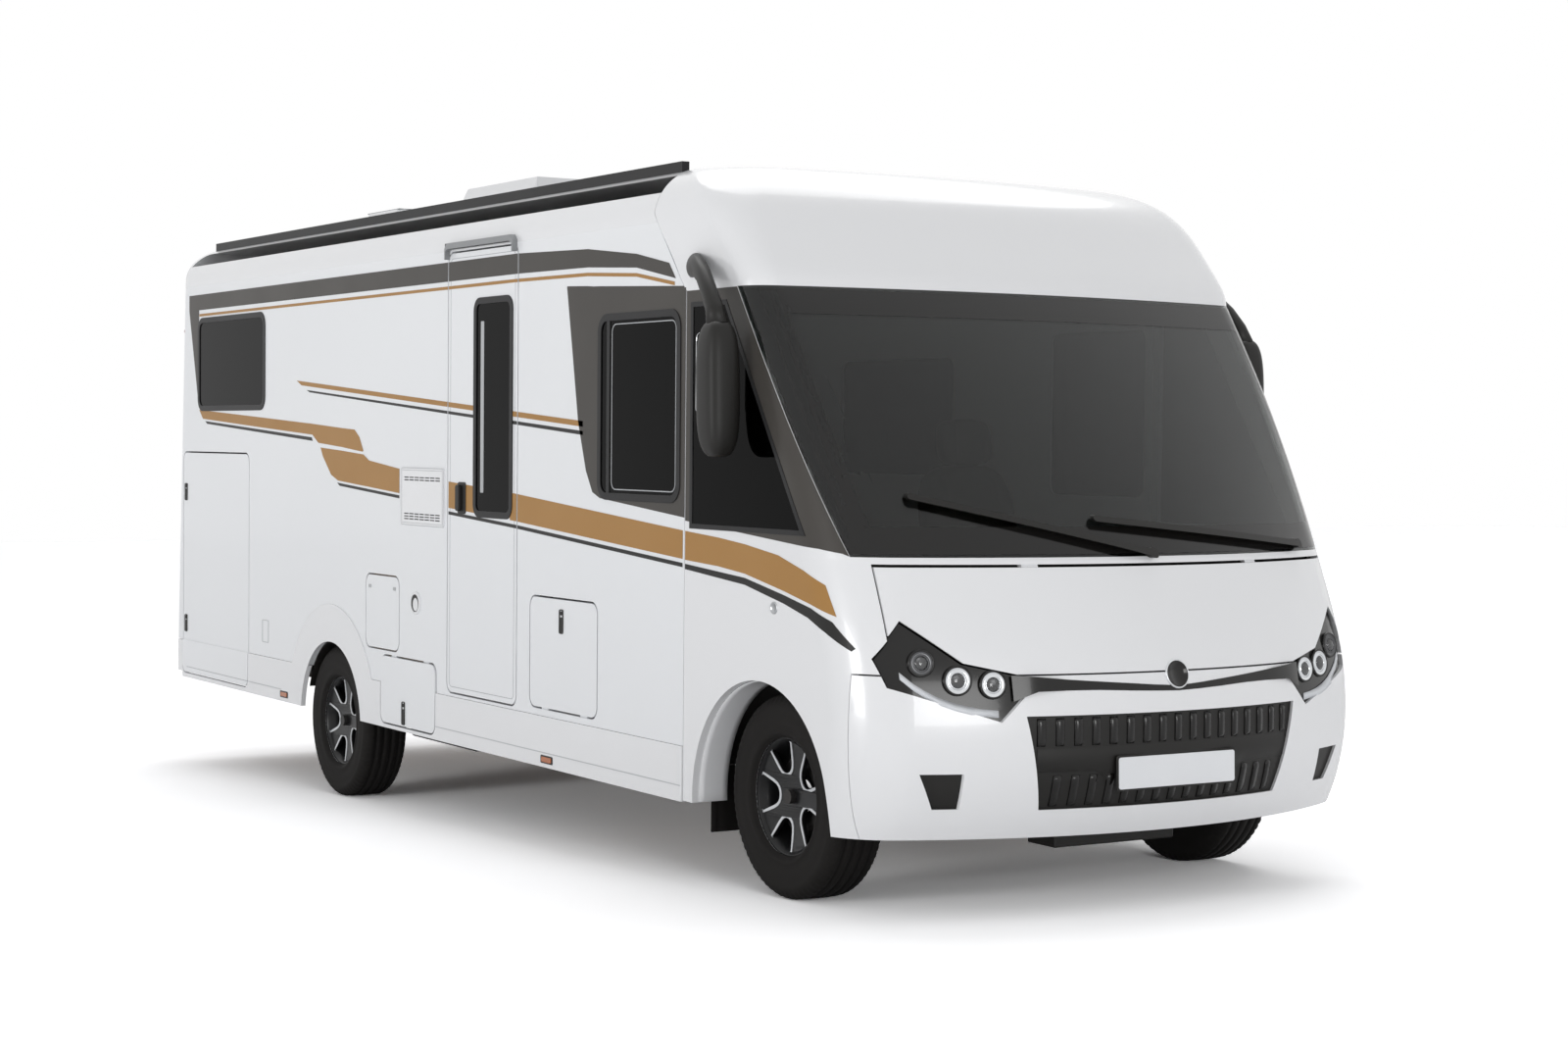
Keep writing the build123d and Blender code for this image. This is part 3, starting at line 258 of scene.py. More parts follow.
# Seat leather with a fine pore grain: brown-grey with a soft sheen
LEATHER = Finish("seat_leather", "#5B544C", "#4E4840", 0.5, grain_mm=2.5, bump=0.35, bump_depth_mm=0.4)
# Clear polycarbonate lamp lens: a hard glint over what lies behind it
LENS = Finish("polycarbonate_lens", "#F2F4F6", "#E8EAEE", 0.03, transmission=0.95, ior=1.58, bump=0.0,
              rough_spread=0.01)
# Vapour-plated lamp bowl: mirror bright with slight ripples
REFLECTOR = Finish("vapour_plated_reflector", "#E4E6E8", "#C9CCCF", 0.1, metallic=1.0, grain_mm=20.0, bump=0.1)
# The same plating in a darker colour, for the bowls of the outermost lamps: a dim glint
DARKER_REFLECTOR = replace(REFLECTOR, name="smoked_reflector", colour="#6E6F71", shade="#4A4A4B", roughness=0.2)
# Frosted light guide of the day lamps: pale and even
LIGHT_GUIDE = Finish("frosted_light_guide", "#DADDE1", "#CDD0D5", 0.35, grain_mm=2.0, bump=0.1)
# Dyed amber lens with a prism grain: glossy orange
AMBER = Finish("amber_lens", "#B4601C", "#A95512", 0.2, coat=0.5, grain_mm=4.0, bump=0.2)
# Dyed red lens with a prism grain: glossy deep red
RED_LENS = Finish("red_lens", "#8E1414", "#7C1010", 0.18, coat=0.6, grain_mm=6.0, bump=0.25)
# Reflective sheeting of blank number plates: flat white
PLATE = Finish("plate_sheeting", "#E9EBEE", "#E0E2E5", 0.4, grain_mm=1.0, bump=0.05)
# Smoked roof-light dome: grey with a clear gloss
SMOKED = Finish("smoked_dome", "#8B8E90", "#808386", 0.25, coat=0.4, grain_mm=30.0)
# Silvered mirror glass: a clean reflection
SILVERED = Finish("silvered_glass", "#D8DADC", "#D2D4D6", 0.02, metallic=1.0, bump=0.0, rough_spread=0.01)

NODE_FINISH: dict[str, Finish] = {name: finish for finish, names in (
    (SHEET_WHITE, "side_wall_right side_wall_left rear_wall entry_door garage_door_right garage_door_left "
                  "locker_door service_flap lower_hatch"),
    (GELCOAT, "roof body_skirts rear_bumper front_cap cab_shell front_bumper bonnet roof_units wall_fittings"),
    (CHASSIS, "chassis_frame front_axle rear_axle underbody_units"),
    (CASTING, "knuckle_left knuckle_right engine_block"),
    (ABS_BLACK, "wheel_liners grille mirrors wipers"),
    (ACRYLIC, "side_windows entry_door_window"),
    (OAK_FOIL, "floor furniture"),
    (SCREEN_GLASS, "windscreen"), (GLOSS_BLACK, "headlights"), (RED_LENS, "tail_lamps"),
    (POWDER_BLACK, "roof_rails"), (ANODISED, "entry_step"), (DASH, "dashboard"), (LEATHER, "cab_seats"),
    (RUBBER, " ".join(f"tyre_{end}_{side.tag}" for end, side in CORNERS)),
    (WHEEL_BLACK, " ".join(f"rim_{end}_{side.tag}" for end, side in CORNERS)),
) for name in names.split()}


# ---------------------------------------------------------------- outlines
def around(count: int) -> list[Point]:
    """Cosine and sine of angles spread evenly over one turn."""
    return [(math.cos(2 * math.pi * k / count), math.sin(2 * math.pi * k / count)) for k in range(count)]


def disc(a: float, b: float, r: float, count: int) -> list[Point]:
    """Outline of a circle of radius r about a point."""
    return [(a + r * c, b + r * s) for c, s in around(count)]


def oblong(a0: float, a1: float, b0: float, b1: float) -> list[Point]:
    """Outline of a rectangle with sharp corners."""
    return [(a0, b0), (a1, b0), (a1, b1), (a0, b1)]


def rounded_box(limits: Box, grow: float, radius: float, steps: int = 6) -> list[Point]:
    """Corner points of a rounded rectangle.

    Args:
        limits: low and high of the first direction, then of the second.
        grow: how far it is grown on every side.
        radius: radius of its corners before growing.
        steps: divisions of each corner.

    Returns:
        Points in order round the rectangle.
    """
    a0, a1, b0, b1 = limits[0] - grow, limits[1] + grow, limits[2] - grow, limits[3] + grow
    r = max(radius + grow, 1.0)
    points = []
    for ca, cb, start in ((a1 - r, b1 - r, 0), (a0 + r, b1 - r, 90), (a0 + r, b0 + r, 180), (a1 - r, b0 + r, 270)):
        for k in range(steps + 1):
            t = math.radians(start + 90 * k / steps)
            points.append((ca + r * math.cos(t), cb + r * math.sin(t)))
    return points


def hoop(limits: Box, outer: float, inner: float, radius: float) -> list[list[Point]]:
    """Rim and hole of a rounded frame, grown from its limits by two distances."""
    return [rounded_box(limits, outer, radius), rounded_box(limits, inner, radius)]


def between(a: Point, b: Point, share: float) -> Point:
    """Point at some share of the way from a to b."""
    return a[0] + (b[0] - a[0]) * share, a[1] + (b[1] - a[1]) * share


def inside(point: Point, outline: Outline) -> bool:
    """Whether a point lies within a closed outline."""
    within = False
    for (a0, b0), (a1, b1) in zip(outline, list(outline[1:]) + [outline[0]]):
        if (b0 > point[1]) != (b1 > point[1]) and point[0] < a0 + (a1 - a0) * (point[1] - b0) / (b1 - b0):
            within = not within
    return within


def offset(outline: Outline, reach: float) -> tuple[Point, ...]:
    """An outline whose straight edges are moved outward by some millimetres.

    Args:
        outline: closed outline.
        reach: distance, negative for inward.

    Returns:
        The moved outline with as many points.
    """
    count = len(outline)
    turn = sum(outline[k - 1][0] * outline[k][1] - outline[k][0] * outline[k - 1][1] for k in range(count))
    moved = []
    for k in range(count):
        (ax, az), (bx, bz), (cx, cz) = outline[k - 1], outline[k], outline[(k + 1) % count]
        first = Vector((bz - az, ax - bx)).normalized() * math.copysign(1, turn)
        second = Vector((cz - bz, bx - cx)).normalized() * math.copysign(1, turn)
        middle = (first + second).normalized()
        shift = middle * (reach / max(middle.dot(first), 0.2))
        moved.append((bx + shift.x, bz + shift.y))
    return tuple(moved)


def clip_x(line: Outline, low: float, high: float) -> list[Point]:
    """Part of a polyline of rising first values between two limits."""
    points: list[Point] = []
    for (a0, b0), (a1, b1) in zip(line, line[1:]):
        if a1 <= low or a0 >= high:
            continue
        points += [(t, b0 + (b1 - b0) * (t - a0) / (a1 - a0)) for t in (low, high) if a0 < t < a1]
        points += [(a, b) for a, b in ((a0, b0), (a1, b1)) if low <= a <= high]
    return sorted(set(points))


# ---------------------------------------------------------------- mesh tools
def add_object(name: str, data: bpy.types.ID) -> bpy.types.Object:
    """Make an object of some data and link it to the scene."""
    obj = bpy.data.objects.new(name, data)
    bpy.context.scene.collection.objects.link(obj)
    return obj


class Form:
    """Collects the corners and faces of one piece. Every method that adds to it returns the form itself."""

    def __init__(self) -> None:
        """Start empty."""
        self.verts: Loop = []
        self.faces: list[list[int]] = []

    def loops(self, loops: Sequence[Loop], closed: bool = True, caps: bool = False) -> Form:
        """Join a row of loops with quads.

        Args:
            loops: rings of corners, all of one length.
            closed: whether each ring closes on itself.
            caps: whether the first and the last ring get a face.
        """
        base, count = len(self.verts), len(loops[0])
        for ring in loops:
            self.verts.extend(ring)
        for row in range(len(loops) - 1):
            for k in range(count if closed else count - 1):
                a, b = base + row * count + k, base + row * count + (k + 1) % count
                self.faces.append([a, b, b + count, a + count])
        if caps:
            self.faces.append([base + k for k in range(count)][::-1])
            self.faces.append([base + (len(loops) - 1) * count + k for k in range(count)])
        return self

    def box(self, x: Point, y: Point, z: Point) -> Form:
        """Add a block from body-frame limits in millimetres."""
        return self.loops([[STANCE.at(a, b, level) for a, b in oblong(*x, *y)] for level in z], caps=True)

    def lathe(self, centre: Vector, axis: Vector, profile: Outline, turns: int = 48) -> Form:
        """Turn a profile of radius and height, in millimetres, about an axis.

        Args:
            centre: foot of the axis, in metres.
            axis: direction along which heights are measured.
            profile: radius and height pairs from the first ring to the last.
            turns: divisions round the axis.
        """
        side = axis.orthogonal().normalized()
        other = axis.normalized().cross(side)
        return self.loops([[centre + axis.normalized() * height / 1000 + (side * c + other * s) * radius / 1000
                            for c, s in around(turns)] for radius, height in profile])

    def egg(self, centre: Vector, half: Vector, power: float, rows: int, turns: int = 40,
            tilt: float = 0.0) -> Form:
        """Add a rounded block whose sections are superellipses.

        Args:
            centre: its middle, in metres.
            half: half its sizes along x, y and z, in metres.
            power: 2 is an ellipsoid, and more is squarer.
            rows: divisions from bottom to top.
            turns: divisions round.
            tilt: how far x moves per metre of height.
        """
        def shape(value: float) -> float:
            """Signed superellipse power of a cosine or sine."""
            return math.copysign(abs(value) ** (2 / power), value)

        rings = []
        for row in range(1, rows):
            lat = -math.pi / 2 + math.pi * row / rows
            rise, wide = shape(math.sin(lat)) * half.z, shape(math.cos(lat))
            rings.append([centre + Vector((wide * shape(c) * half.x + tilt * rise, wide * shape(s) * half.y, rise))
                          for c, s in around(turns)])
        return self.loops(rings, caps=True)

    def grid(self, rows: Sequence[Sequence[Optional[Vector]]], shown: Callable[[int, int], bool]) -> Form:
        """Add a sheet of quads.

        Args:
            rows: rows of places, with None where there is none.
            shown: whether the quad after a row number and a column number is kept.
        """
        index: dict[tuple[int, int], int] = {}
        for r, row in enumerate(rows):
            for c, place in enumerate(row):
                if place is not None:
                    index[(r, c)] = len(self.verts)
                    self.verts.append(place)
        for r in range(len(rows) - 1):
            for c in range(len(rows[0]) - 1):
                keys = [(r, c), (r, c + 1), (r + 1, c + 1), (r + 1, c)]
                if shown(r, c) and all(k in index for k in keys):
                    self.faces.append([index[k] for k in keys])
        return self

    def slab(self, outlines: Sequence[Outline], low: float, high: float, edge: float,
             place: Callable[[Vector], Vector]) -> Form:
        """Add a plate whose first outline is its rim and whose others are holes.

        Args:
            outlines: closed outlines in millimetres.
            low: where its back lies.
            high: where its face lies.
            edge: width of its rounded edges.
            place: turns a flat point, whose third value runs from low to high, into a place in metres.
        """
        curve = bpy.data.curves.new("outline", "CURVE")
        curve.dimensions = "2D"
        curve.fill_mode = "BOTH"
        curve.extrude = max((high - low) / 2 - edge, 0.01)
        curve.bevel_depth = edge
        curve.bevel_resolution = 1
        curve.offset = -edge
        for outline in outlines:
            spline = curve.splines.new("POLY")
            spline.points.add(len(outline) - 1)
            for point, (a, b) in zip(spline.points, outline):
                point.co = (a, b, 0.0, 1.0)
            spline.use_cyclic_u = True
        holder = bpy.data.objects.new("outline", curve)
        mesh = bpy.data.meshes.new_from_object(holder)
        base, middle = len(self.verts), (low + high) / 2
        self.verts.extend(place(Vector((v.co.x, v.co.y, v.co.z + middle))) for v in mesh.vertices)
        self.faces.extend([base + k for k in p.vertices] for p in mesh.polygons)
        bpy.data.objects.remove(holder)
        bpy.data.curves.remove(curve)
        bpy.data.meshes.remove(mesh)
        return self

    def plate(self, outlines: Sequence[Outline], side: Side, low: float, high: float, edge: float = 1.5) -> Form:
        """Add a plate on a body side, from outlines of body-frame x and z; low and high stand off the wall."""
        return self.slab(outlines, low, high, edge,
                         lambda v: STANCE.at(v.x, side.value * (HALF_W + v.z), v.y))

    def make(self, name: str, finish: Finish, body: str = "body", smooth: bool = True, thick_mm: float = 0.0,
             round_mm: float = 0.0) -> bpy.types.Object:
        """Turn what was collected into a piece that rides on a body.

        Args:
            name: name of the piece.
            finish: its surface.
            body: the body that it moves with.
            smooth: whether its faces are shaded smooth.
            thick_mm: thickness that a sheet is given, inward.
            round_mm: width of the rounding on sharp edges.

        Returns:
            The new object.
        """
        mesh = bpy.data.meshes.new(name)
        mesh.from_pydata([tuple(v) for v in self.verts], [], self.faces)
        form = bmesh.new()
        form.from_mesh(mesh)
        bmesh.ops.remove_doubles(form, verts=form.verts, dist=1e-6)
        bmesh.ops.recalc_face_normals(form, faces=form.faces)
        form.to_mesh(mesh)
        form.free()
        for face in mesh.polygons:
            face.use_smooth = smooth
        obj = add_object(name, mesh)
        mesh.materials.append(finish.make())
        if thick_mm:
            shell = obj.modifiers.new("thickness", "SOLIDIFY")
            shell.thickness = thick_mm / 1000
            shell.offset = -1.0
        if round_mm:
            edge = obj.modifiers.new("rounding", "BEVEL")
            edge.width = round_mm / 1000
            edge.segments = 3
            edge.limit_method = "ANGLE"
            edge.angle_limit = math.radians(35)
            edge.harden_normals = True
        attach(obj, body)
        LOG.info("%s: %d faces on %s", name, len(mesh.polygons), body)
        return obj


class Skin:
    """Outer surface of some nodes, on which films and lamps are laid."""

    def __init__(self, *nodes: str) -> None:
        """Collect the nodes' faces."""
        verts: Loop = []
        faces: list[list[int]] = []
        for name in nodes:
            mesh = bpy.data.objects[name].data
            base = len(verts)
            verts.extend(v.co.copy() for v in mesh.vertices)
            faces.extend([base + k for k in p.vertices] for p in mesh.polygons)
        self.tree = BVHTree.FromPolygons(verts, faces)

    def from_side(self, x: float, z: float, side: Side, lift: float) -> Optional[Vector]:
        """Point over the skin seen square from a side, at body-frame x and z, lifted off by some millimetres."""
        return self._hit(STANCE.at(x, side.value * BESIDE, z), Vector((0, -side.value, 0)), lift)

    def from_front(self, y: float, z: float, lift: float) -> Optional[Vector]:
        """Point over the skin seen square from the front, at body-frame y and z."""
        return self._hit(STANCE.at(BEFORE, y, z), BACK, lift)

    def normal_front(self, y: float, z: float) -> Vector:
        """Outward direction of the skin at body-frame y and z."""
        _, normal, _, _ = self.tree.ray_cast(STANCE.at(BEFORE, y, z), BACK)
        return normal if normal.dot(BACK) < 0 else -normal

    def _hit(self, start: Vector, toward: Vector, lift: float) -> Optional[Vector]:
        """First point met, moved back against the ray's side of the surface."""
        place, normal, _, _ = self.tree.ray_cast(start, toward)
        if place is None:
            return None
        if normal.dot(toward) > 0:
            normal = -normal
        return place + normal * lift / 1000


# ---------------------------------------------------------------- films
@dataclass(frozen=True)
class Band:
    """A strip of film between an upper and a lower line of equal point counts, in body-frame x and z."""

    name: str
    finish: Finish
    upper: tuple[Point, ...]
    lower: tuple[Point, ...]
    fine: float = 60.0

    def grid(self) -> list[list[Point]]:
        """Rows of points from the lower to the upper line, no further apart than `fine`."""
        pairs: list[tuple[Point, Point]] = []
        for k in range(len(self.upper) - 1):
            (top, next_top), (low, next_low) = self.upper[k:k + 2], self.lower[k:k + 2]
            parts = max(1, math.ceil(max(math.dist(top, next_top), math.dist(low, next_low)) / self.fine))
            pairs += [(between(low, next_low, n / parts), between(top, next_top, n / parts)) for n in range(parts)]
        pairs.append((self.lower[-1], self.upper[-1]))
        rows = max(1, math.ceil(max(math.dist(a, b) for a, b in pairs) / self.fine))
        return [[between(a, b, r / rows) for a, b in pairs] for r in range(rows + 1)]

    def cut(self, span: Point) -> Optional[Band]:
        """The part of the band within a span of x, its lines given equal numbers of points; None if it has none."""
        lines = [clip_x(line, *span) for line in (self.upper, self.lower)]
        if min(len(line) for line in lines) < 2:
            return None
        shares = sorted({round((p[0] - line[0][0]) / (line[-1][0] - line[0][0]), 6) for line in lines for p in line})
        cut_lines = []
        for line in lines:
            points = []
            for t in shares:
                x = line[0][0] + (line[-1][0] - line[0][0]) * t
                k = max(n for n in range(len(line) - 1) if line[n][0] <= x + 1e-6)
                (x0, z0), (x1, z1) = line[k], line[k + 1]
                points.append((x, z0 + (z1 - z0) * (x - x0) / (x1 - x0)))
            cut_lines.append(tuple(points))
        return replace(self, upper=cut_lines[0], lower=cut_lines[1])


class Livery:
    """Cut films of both sides: bands on the walls, over the entry door and round the cab."""

    def __init__(self, cab: Skin) -> None:
        """Take the cab's skin, on which the curved films lie."""
        self.cab = cab

    def lay(self, name: str, band: Band, side: Side, body: str = "body", holes: Sequence[Outline] = (),
            span: Optional[Point] = None, skin: bool = False) -> None:
        """Lay a band as a mesh.

        Args:
            name: name of the piece.
            band: the strip of film.
            side: the side that it lies on.
            body: the body that it rides on.
            holes: outlines of windows that it leaves free.
            span: limits of x outside which it is cut away.
            skin: whether it follows the cab's skin and not the flat wall.
        """
        part = band.cut(span) if span else band
        if part is None:
            return
        rows = part.grid()

        def covered(r: int, c: int) -> bool:
            """Whether the middle of a quad lies outside every hole."""
            corners = rows[r][c:c + 2] + rows[r + 1][c:c + 2]
            middle = (sum(p[0] for p in corners) / 4, sum(p[1] for p in corners) / 4)
            return not any(inside(middle, hole) for hole in holes)

        form = Form().grid([[self.cab.from_side(x, z, side, FILM_LIFT) if skin
                             else STANCE.at(x, side.value * (HALF_W + FILM_LIFT), z) for x, z in row]
                            for row in rows], covered)
        if form.faces:
            form.make(name, band.finish, body, smooth=skin)

    def ring(self, name: str, outline: Outline, side: Side) -> None:
        """Lay a black frame on the cab's skin round a window of the cab's side."""
        rings: list[list[Optional[Vector]]] = []
        for reach, lift in QUARTER_PROFILE:
            line = offset(outline, reach)
            points: list[Point] = []
            for k, (a, b) in enumerate(zip(line, line[1:] + line[:1])):
                parts = max(2, math.ceil(math.dist(outline[k], outline[(k + 1) % len(outline)]) / QUARTER_FINE))
                points += [between(a, b, n / parts) for n in range(parts)]
            rings.append([self.cab.from_side(x, z, side, lift) for x, z in points])
        kept = [places for places in zip(*rings) if None not in places]
        Form().loops([list(ring) for ring in zip(*kept)]).make(name, POWDER_BLACK, smooth=False)


TOP_UPPER = ((-6159, 2432), (-5888, 2432), (-2647, 2432), (-1961, 2432), (-1314, 2413), (-903, 2371), (-645, 2323))
TOP_LOWER = ((-6159, 2347), (-5888, 2347), (-2647, 2347), (-1961, 2347), (-1314, 2340), (-903, 2318), (-592, 2262))
LINE_UPPER = ((-5990, 2326), (-2647, 2326), (-1961, 2326), (-1314, 2319), (-903, 2297), (-600, 2250))
LINE_WIDTH = 14
CAB_FRAME_X = (-1494, -1440, -1390, -1319, -1262, -1199, -513)
WALL_BANDS: tuple[Band, ...] = (
    Band("top_band", FILM_GREY, TOP_UPPER, TOP_LOWER),
    Band("top_line", FILM_GOLD, LINE_UPPER, tuple((x, z - LINE_WIDTH) for x, z in LINE_UPPER)),
    Band("rear_wedge", FILM_GREY, ((-6159, 2347), (-5995, 2347)), ((-5999, 1813), (-5995, 1813))),
    Band("upper_gold", FILM_GOLD, ((-4506, 1937), (-1347, 1728)), ((-4440, 1912), (-1347, 1705))),
    Band("upper_black", FILM_BLACK, ((-4370, 1888), (-1347, 1688)), ((-4330, 1876), (-1347, 1672))),
    Band("lower_gold", FILM_GOLD,
         ((-5990, 1797), (-5000, 1752), (-4290, 1719), (-3900, 1698), (-3741, 1691), (-3680, 1655), (-3630, 1590)),
         ((-5930, 1748), (-5000, 1700), (-4290, 1665), (-4210, 1625), (-3900, 1606), (-3700, 1590), (-3640, 1586))),
    Band("lower_black", FILM_BLACK, ((-5890, 1735), (-4300, 1652)), ((-5860, 1720), (-4285, 1634))),
    Band("swoosh_gold", FILM_GOLD,
         ((-4180, 1602), (-4040, 1595), (-3930, 1590), (-3630, 1573), (-3560, 1545), (-3197, 1511)),
         ((-4150, 1560), (-4040, 1470), (-3950, 1443), (-3700, 1428), (-3560, 1420), (-3197, 1398))),
    Band("swoosh_black", FILM_BLACK, ((-3960, 1433), (-3197, 1388)), ((-3930, 1418), (-3197, 1374))),
    Band("wide_gold", FILM_GOLD, ((-2647, 1462), (-1961, 1423), (-524, 1318)),
         ((-2647, 1345), (-1961, 1307), (-524, 1211))),
    Band("wide_black", FILM_BLACK, ((-2647, 1330), (-1961, 1292), (-524, 1196)),
         ((-2647, 1316), (-1961, 1277), (-524, 1180))),
    Band("cab_frame", FILM_GREY, tuple(zip(CAB_FRAME_X, (2273, 2271, 2269, 2266, 2262, 2260, 2230))),
         tuple(zip(CAB_FRAME_X, (2265, 1990, 1726, 1530, 1445, 1423, 1366))), fine=22.0),
)
CAB_BANDS: tuple[Band, ...] = (
    Band("cab_dark", FILM_GREY, ((-507, 2211), (-186, 2211), (-148, 2211), (-139, 2211)),
         ((-507, 1355), (402, 1286), (493, 1272), (516, 1263)), fine=18.0),
    Band("cab_gold", FILM_GOLD,
         ((-506, 1317), (-479, 1315), (-260, 1301), (-71, 1284), (160, 1254), (330, 1208), (452, 1163)),
         ((-506, 1209), (-477, 1207), (-260, 1196), (-69, 1178), (200, 1130), (380, 1093), (516, 1058)), fine=24.0),
    Band("cab_black", FILM_BLACK,
         ((-506, 1194), (-69, 1163), (200, 1116), (380, 1080), (500, 1040), (603, 955)),
         ((-506, 1174), (-69, 1138), (200, 1086), (360, 1046), (470, 1002), (590, 945)), fine=24.0),
)
# The cab's side pane, how far films stay inside it, and its frame: distance outward from it and height over the skin
QUARTER: tuple[Point, ...] = ((-470, 1330), (-470, 2165), (-215, 2165), (330, 1330))
QUARTER_FREE = -8.0
QUARTER_PROFILE = ((3.0, 0.2), (2.5, 3.0), (-15.5, 3.0), (-16.0, 0.2))
QUARTER_FINE = 25.0
# Stretches of x on the entry door's leaf, before it and behind it, with the gaps left free
DOOR_LEAF: Point = (-2654.0, -1954.0)
BEFORE_DOOR: Point = (-1944.0, 0.0)
BEHIND_DOOR: Point = (-9000.0, -2664.0)
WINDOW_GAP = 2.0


@dataclass(frozen=True)
class Opening:
    """A window: its limits in x and z, its side, what it rides on and how it is made."""

    name: str
    limits: Box
    side: Side
    body: str = "body"
    sliding: bool = False
    radius: float = 60.0
    # How far the frame reaches out over the wall and in over the pane
    FRAME_OUT, FRAME_IN = 13, -16
    # Insets of the bar (rear and front edge from the rear limit, ends) and of the seal (rear, front, ends)
    BAR_INSET, SEAL_INSET, SEAL_WIDTH, SEAL_RADIUS = (62, 88, 14), (102, 24, 28), 4, 34

    def build(self) -> None:
        """Make the black frame, and for a window of two panes the upright bar and the seal."""
        Form().plate(hoop(self.limits, self.FRAME_OUT, self.FRAME_IN, self.radius), self.side, -1.0, 5.0).make(
            f"{self.name}_frame", POWDER_BLACK, self.body, smooth=False)
        if not self.sliding:
            return
        x0, x1, z0, z1 = self.limits
        rear, front, ends = self.BAR_INSET
        Form().plate([rounded_box((x0 + rear, x0 + front, z0 + ends, z1 - ends), 0, 2)], self.side, -8.0, 3.0,
                     1.0).make(f"{self.name}_bar", POWDER_BLACK, self.body, smooth=False)
        rear, front, ends = self.SEAL_INSET
        Form().plate(hoop((x0 + rear, x1 - front, z0 + ends, z1 - ends), 0, -self.SEAL_WIDTH, self.SEAL_RADIUS),
                     self.side, -6.0, 1.5, 0.5).make(f"{self.name}_seal", SEAL_AND_GROOVE_SHADE_GREY, self.body, smooth=False)


WINDOWS: tuple[Opening, ...] = (
    *(Opening(f"bed_window_{side.tag}", (-5995, -4970, 1803, 2290), side) for side in Side),
    *(Opening(f"cab_side_window_{side.tag}", (-1205, -560, 1430, 2136), side, sliding=True) for side in Side),
    Opening("dinette_window_left", (-2900, -1950, 1500, 2050), Side.LEFT),
    Opening("washroom_window_left", (-4250, -3750, 1990, 2260), Side.LEFT, radius=45.0),
)
DOOR_PANE = Opening("door_window", (-2372, -2008, 1325, 2250), Side.RIGHT, body="entry_door", radius=45.0)


def lay_livery(livery: Livery) -> None:
    """Lay every film on both sides. On the right, a film that crosses the entry door is cut at its gaps."""
    pane = rounded_box(DOOR_PANE.limits, WINDOW_GAP, DOOR_PANE.radius)
    for side in Side:
        holes = [rounded_box(w.limits, WINDOW_GAP, w.radius) for w in WINDOWS if w.side is side]
        for band in WALL_BANDS:
            name = f"{band.name}_{side.tag}"
            if side is Side.RIGHT and band.upper[0][0] < DOOR_LEAF[1] and band.upper[-1][0] > DOOR_LEAF[0]:
                livery.lay(f"{name}_door", band, side, "entry_door", [pane], DOOR_LEAF)
                livery.lay(f"{name}_front", band, side, "body", holes, BEFORE_DOOR)
                livery.lay(f"{name}_rear", band, side, "body", holes, BEHIND_DOOR)
            else:
                livery.lay(name, band, side, "body", holes)
        for band in CAB_BANDS:
            livery.lay(f"{band.name}_{side.tag}", band, side, holes=[offset(QUARTER, QUARTER_FREE)], skin=True)
        livery.ring(f"quarter_window_frame_{side.tag}", QUARTER, side)


# ---------------------------------------------------------------- wheels
@lru_cache(maxsize=None)
def node_centre(name: str) -> Vector:
    """Middle of a solid's box, in metres."""
    low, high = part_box(name)
    return (low + high) / 2


